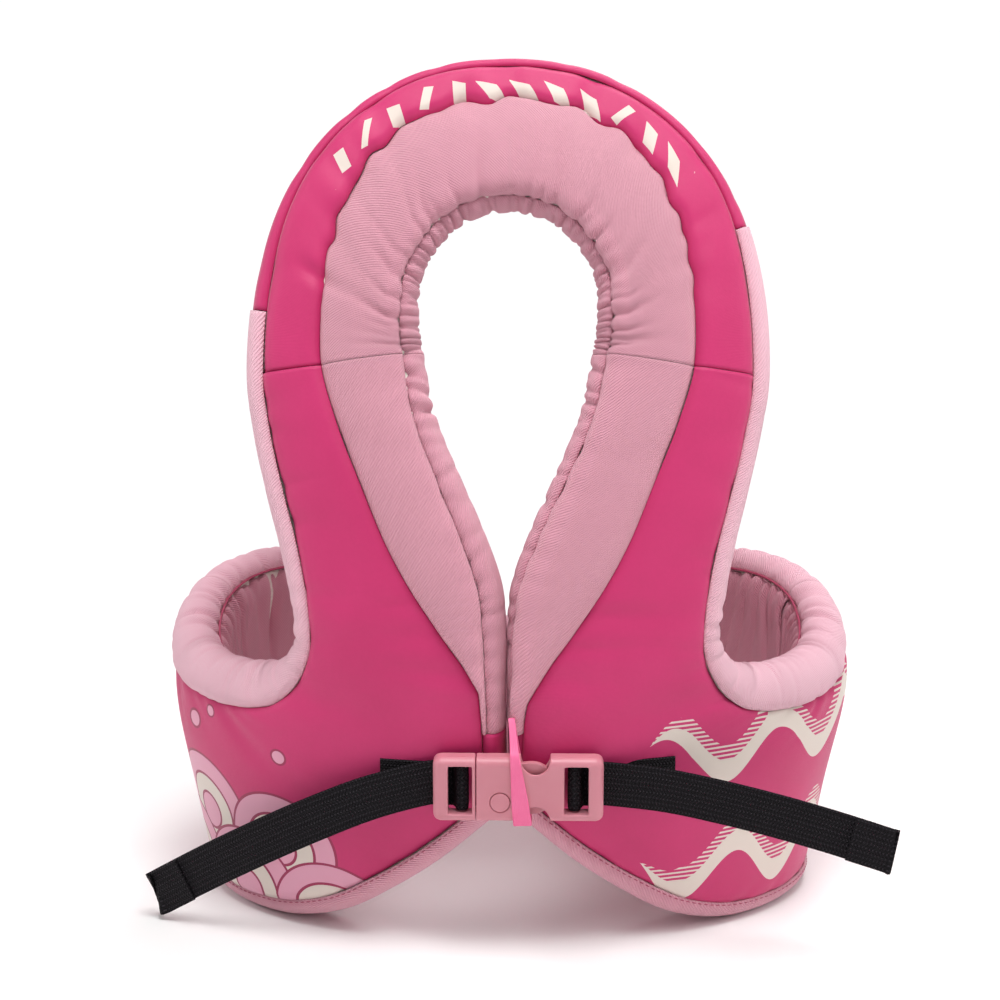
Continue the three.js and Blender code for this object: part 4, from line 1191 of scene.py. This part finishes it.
def make_webbing():
    """Webbing sewn to each front, looped round each bar, and the two free tails."""
    bars = {
        "left": (-1, MALE_LEFT, MALE_LEFT + RIM_WIDTH + BAR_INSET),
        "right": (1, HOUSING_RIGHT, HOUSING_RIGHT - RIM_WIDTH - BAR_INSET),
    }
    for side, (way, rim_end, bar_x) in bars.items():
        body = "buckle_male" if side == "left" else "root"

        def strap(title, points, body, nodes=()):
            return ribbon(title, "webbing", points, UPRIGHT, WEBBING_WIDTH, WEBBING_THICKNESS,
                          body, nodes)

        strap(f"{side}_sewn_webbing", sewn_run(way, rim_end, SEWN_LENGTH[side]), "root")
        strap(f"{side}_webbing_loop", loop_run(way, rim_end, bar_x), body, [f"{side}_webbing"])
        tail = strap(f"{side}_free_tail", tail_run(side, way, rim_end), None,
                     [f"{side}_webbing_tail"])
        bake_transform(tail)


KEEPER_GAP, KEEPER_THICKNESS = 1.0, 1.0
KEEPER_WIDTH, KEEPER_SPREAD = 3.6, 6.2


def make_keeper():
    """The elastic keeper: a closed loop round the housing, narrow at the top and spread below."""
    half, edge = BUCKLE_WIDTH / 2, BUCKLE_WIDTH / 2 + KEEPER_GAP
    front = BUCKLE_FRONT - KEEPER_GAP
    back = (BUCKLE_BACK + float(off_form(0.0, BUCKLE_Z, FOAM_HALF + CLEARANCE + CLOTH)[1])) / 2
    heights_and_depths = (
        (KEEPER_TOP, back - 1.6), (edge + 4, front + 3.4), (edge, front + 0.2),
        (0.5 * half, front - 0.2), (0, front - 0.3), (-0.6 * half, front - 0.2),
        (-half, front), (-edge, front + 1.2), (-edge - 0.2, back - 3), (-edge + 0.2, back - 0.4),
        (-half, back), (0, back), (half, back), (KEEPER_TOP - 1, back - 0.3),
        (KEEPER_TOP, back - 1.6),
    )
    path = [
        [KEEPER_X + KEEPER_SLANT * (KEEPER_TOP - height) / (KEEPER_TOP + half), y,
         BUCKLE_Z + height]
        for height, y in heights_and_depths
    ]
    points, _ = curve_through(path, RIBBON_PITCH)
    spread = (KEEPER_TOP + BUCKLE_Z - points[:-1, 2]) / (KEEPER_TOP + half)
    width = KEEPER_WIDTH + KEEPER_SPREAD * smooth(spread)
    ribbon("elastic_keeper", "elastic", path, (1, 0, 0), width, KEEPER_THICKNESS,
           nodes=["keeper_band"], closed=True)


# ---- Buckle ----
BUCKLE_EDGE = 4.5


def round_front(co, edge, ends):
    """Moves points of the buckle, in frame metres, back where its front's long edges and its ends,
    whose x are given, fall away as a quarter circle of radius edge does."""
    x, y, z = (co / MM - SHIFT).T
    past = np.clip(np.abs(z - BUCKLE_Z) - BUCKLE_WIDTH / 2 + edge, 0, edge)
    left, right = ends
    beyond = np.maximum(np.clip(left + edge - x, 0, edge), np.clip(x - right + edge, 0, edge))
    far = np.clip(np.hypot(past, beyond), 0, 0.97 * edge)
    fall = edge - np.sqrt(edge * edge - far * far)
    middle = (BUCKLE_FRONT + BUCKLE_BACK) / 2
    co[:, 1] += fall * np.clip((middle - y) / (middle - BUCKLE_FRONT), 0, 1) * MM


def moulded(name, node, body, voxel=0.4, rounds=10, ends=None):
    """The CAD piece with moulded edges: its own solid, rebuilt on a fine grid of cells and
    relaxed, so that every sharp edge takes a small radius."""
    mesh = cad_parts[node].data.copy()
    bm = bmesh.new()
    bm.from_mesh(mesh)
    bmesh.ops.remove_doubles(bm, verts=bm.verts, dist=1e-6)
    bm.to_mesh(mesh)
    bm.free()
    mesh.materials.clear()
    piece = bpy.data.objects.new(name, mesh)
    bpy.context.scene.collection.objects.link(piece)
    remesh = piece.modifiers.new("cells", "REMESH")
    remesh.mode, remesh.voxel_size = "VOXEL", voxel * MM
    relax = piece.modifiers.new("relax", "SMOOTH")
    relax.factor, relax.iterations = 0.5, rounds
    depsgraph = bpy.context.evaluated_depsgraph_get()
    made = bpy.data.meshes.new_from_object(piece.evaluated_get(depsgraph))
    piece.modifiers.clear()
    piece.data = made
    if ends:
        co = np.empty(len(made.vertices) * 3)
        made.vertices.foreach_get("co", co)
        co = co.reshape(-1, 3)
        round_front(co, BUCKLE_EDGE, ends)
        made.vertices.foreach_set("co", co.ravel())
    dressed(piece, "plastic", body, [node])


def make_buckle():
    moulded("buckle_frame_moulding", "buckle_male_frame", "buckle_male",
            ends=(MALE_LEFT, math.inf))
    moulded("buckle_housing_moulding", "buckle_housing", "root", ends=(-math.inf, HOUSING_RIGHT))
    moulded("upper_arm_moulding", "upper_release_arm", "upper_arm", 0.3, 6)
    moulded("lower_arm_moulding", "lower_release_arm", "lower_arm", 0.3, 6)
    moulded("button_moulding", "release_button", "push_button", 0.18, 5)


SPRING_WAVES, SPRING_WIRE, SPRING_WIRE_WIDTH = 3, 0.4, 1.25


def make_spring():
    """A wave washer under the button: a flat wire round a circle that rises and falls three
    times, height middle + swing * sin(3 turn)."""
    low, high = np.array(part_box("button_spring")) / MM
    middle, size = (low + high) / 2 - SHIFT, high - low
    turn = np.arange(96)[:, None] / 96 * 2 * math.pi
    edge = np.arange(12)[None, :] / 12 * 2 * math.pi
    half = SPRING_WIRE_WIDTH / 2
    radius = size[0] / 2 - half + half * np.cos(edge)
    swing = (size[1] - SPRING_WIRE) / 2
    points = np.stack([
        middle[0] + radius * np.cos(turn),
        middle[1] + swing * np.sin(SPRING_WAVES * turn) + SPRING_WIRE / 2 * np.sin(edge),
        middle[2] + radius * np.sin(turn),
    ], -1).reshape(-1, 3)
    faces = outward(points, grid_faces(96, 12, True, True))
    spring = add_piece("wave_spring", points, faces, "steel", nodes=["button_spring"])
    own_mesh(spring)


# ---- Shoulder straps ----
STRAP_TOP, STRAP_FOOT, STRAP_ROOT_DEPTH = 352, 118, 5
STRAP_PATH = [
    [0.572, 0, STRAP_TOP], [0.578, 0.237, 358], [0.572, 0.496, 355], [0.556, 0.74, 336],
    [0.539, 0.924, 298], [0.522, 1, 250], [0.511, 1.015, 200], [0.506, 1.008, 155],
    [0.503, 1, STRAP_FOOT],
]
STRAP_HALF_WIDTH, STRAP_EDGE, STRAP_TWIST = 27, 8, 0.32
STRAP_SHARE_START, STRAP_SHARE_END = 0.045, 0.88  # the part of the path that is clear of the foam
STRAP_CROWN = 0.1


def make_straps():
    """Padded shoulder straps behind: a flat section with round edges, creased from its sides."""
    turn_start = math.degrees(math.asin(STRAP_PATH[0][0]))
    top_y = on_form(turn_start, STRAP_TOP)[1] + STRAP_ROOT_DEPTH
    foot_y = on_form(180 - turn_start, STRAP_FOOT)[1]
    control = [[-a * CHEST_HALF_WIDTH, top_y + b * (foot_y - top_y), z] for a, b, z in STRAP_PATH]
    path, runs = curve_through(control, 2.0)
    share = runs / runs[-1]
    wide = np.stack([-np.ones_like(share), -STRAP_TWIST * smooth(share), 0 * share], -1)
    across, up = strap_frame(path, wide)
    keep = (share > STRAP_SHARE_START) & (share < STRAP_SHARE_END)
    path, runs, across, up = path[keep], runs[keep], across[keep], up[keep]
    turn = np.linspace(0, math.pi, 15)[1:-1]
    flat = np.linspace(-1, 1, 25)
    layers = (
        ("shoulder_strap", "nylon", "cover", CLEARANCE + CLOTH),
        ("strap_padding", "foam", "foam", -FOAM_SHRINK + CLEARANCE),
    )
    for side, mirror in (("left", 1), ("right", -1)):
        for title, look, part, grow in layers:
            half, edge = STRAP_FOAM_HALF + grow, STRAP_EDGE + grow
            reach = STRAP_HALF_WIDTH - STRAP_EDGE
            x = np.concatenate([reach * flat, reach + edge * np.sin(turn)])
            y = np.concatenate([np.full(25, half), half * np.cos(turn)])
            x, y = np.concatenate([x, -x]), np.concatenate([y, -y])
            run, out = np.broadcast_arrays(runs[:, None], x)
            tall = y * (1 + STRAP_CROWN * (1 - (out / x.max()) ** 2))
            if look == "nylon":
                tall = tall + np.sign(y) * gathers(
                    run, x.max() - np.abs(out), runs[0], runs[-1],
                    spacing=14, width=3.5, depth=1.4, reach=14, seed=101)
            sections = path[:, None] + across[:, None] * out[..., None] + up[:, None] * tall[..., None]
            points, faces = tube(sections * [mirror, 1, 1])
            uv = np.stack([run, out], -1).reshape(-1, 2) * MM
            uv = np.concatenate([uv, uv[:1], uv[-1:]])
            piece = add_piece(f"{side}_{title}", points, faces, look, uvs={"cloth": uv},
                              nodes=[f"{side}_strap_{part}"])


# ---- Stitches and piping ----
STITCH_LENGTH, STITCH_GAP, STITCH_RADIUS = 2.9, 1.1, 0.36
SPINDLE_STEPS = (-1, -0.75, 0, 0.75, 1)  # shares of half a stitch's length
SPINDLE_RADII = (0.1, 0.7, 1, 0.7, 0.1)  # shares of its radius there
STITCH_SHARE, STITCH_LIFT = 0.55, 0.75  # its place across the hem tape and over the cloth
PIPING_RADIUS, PIPING_SINK = 0.75, 0.9
PIPING_START, PIPING_END = 11, 28.5
SEAM_PATH_PITCH = 1.5


def stitches(name, path, outwards):
    """A row of thread stitches: small spindles laid end to end along a path, each a six-sided
    ellipsoid sunk half into the cloth."""
    runs = runs_along(path)
    count = int(runs[-1] / (STITCH_LENGTH + STITCH_GAP))
    middles = (np.arange(count) + 0.5) * runs[-1] / count
    centre = sampled(path, runs, middles)
    tangent = unit(sampled(np.gradient(path, axis=0), runs, middles))
    normal = unit(sampled(outwards, runs, middles))
    side = np.cross(normal, tangent)
    along = np.array(SPINDLE_STEPS)[:, None] * STITCH_LENGTH / 2 * np.ones((1, 6))
    thick = np.array(SPINDLE_RADII)[:, None] * STITCH_RADIUS
    turn = np.arange(6) / 6 * 2 * math.pi
    points = centre[:, None, None]
    for way, reach in ((tangent, along), (side, thick * np.cos(turn)), (normal, thick * np.sin(turn))):
        points = points + way[:, None, None] * reach[..., None]
    caps = np.array([[0, 1, 2, 3], [3, 4, 5, 0], [27, 26, 25, 24], [24, 29, 28, 27]])
    one = np.concatenate([grid_faces(5, 6, wrap_columns=True), caps])
    one = outward(points[0].reshape(-1, 3) - centre[0], one)
    faces = (one[None] + (np.arange(count) * 30)[:, None, None]).reshape(-1, 4)
    add_piece(name, points.reshape(-1, 3), faces, "pink_thread")


def seam_path(start, end, q_of, height):
    """A path on the vest at q_of(station), height over the foam, and its outward directions."""
    first, last = run_of(np.array([start, end], float))
    s = station_at(np.linspace(first, last, int(abs(last - first) / SEAM_PATH_PITCH)))
    path = section(s, q_of(s), height)
    return path, section(s, q_of(s), height + 1) - path


def make_stitches():
    """The hem's topstitch, and a thin corded edge on each armhole's inner seam."""
    for side, way in (("left", -1), ("right", 1)):
        for title, start, end in (("front", HEM_START, SIDE), ("back", SIDE, LAST_STATION)):
            path, outwards = seam_path(
                way * start, way * end, lambda s: STITCH_SHARE * binding_q(s),
                CLEARANCE + CLOTH + STITCH_LIFT)
            stitches(f"{side}_{title}_hem_stitches", path, outwards)
        path, _ = seam_path(way * PIPING_START, way * PIPING_END, armhole_seam_q,
                            CLEARANCE + CLOTH - PIPING_SINK)
        turn = np.arange(8) / 8 * 2 * math.pi
        across, up = strap_frame(path, UPRIGHT)
        ring = across[:, None] * np.cos(turn)[:, None] + up[:, None] * np.sin(turn)[:, None]
        points, faces = tube(path[:, None] + PIPING_RADIUS * ring)
        add_piece(f"{side}_armhole_piping", points, faces, "pink_thread")


make_stage().data.materials.append(floor_look())
make_foam()
make_cloth()
make_back()
make_straps()
make_webbing()
make_keeper()
make_buckle()
make_spring()
make_stitches()
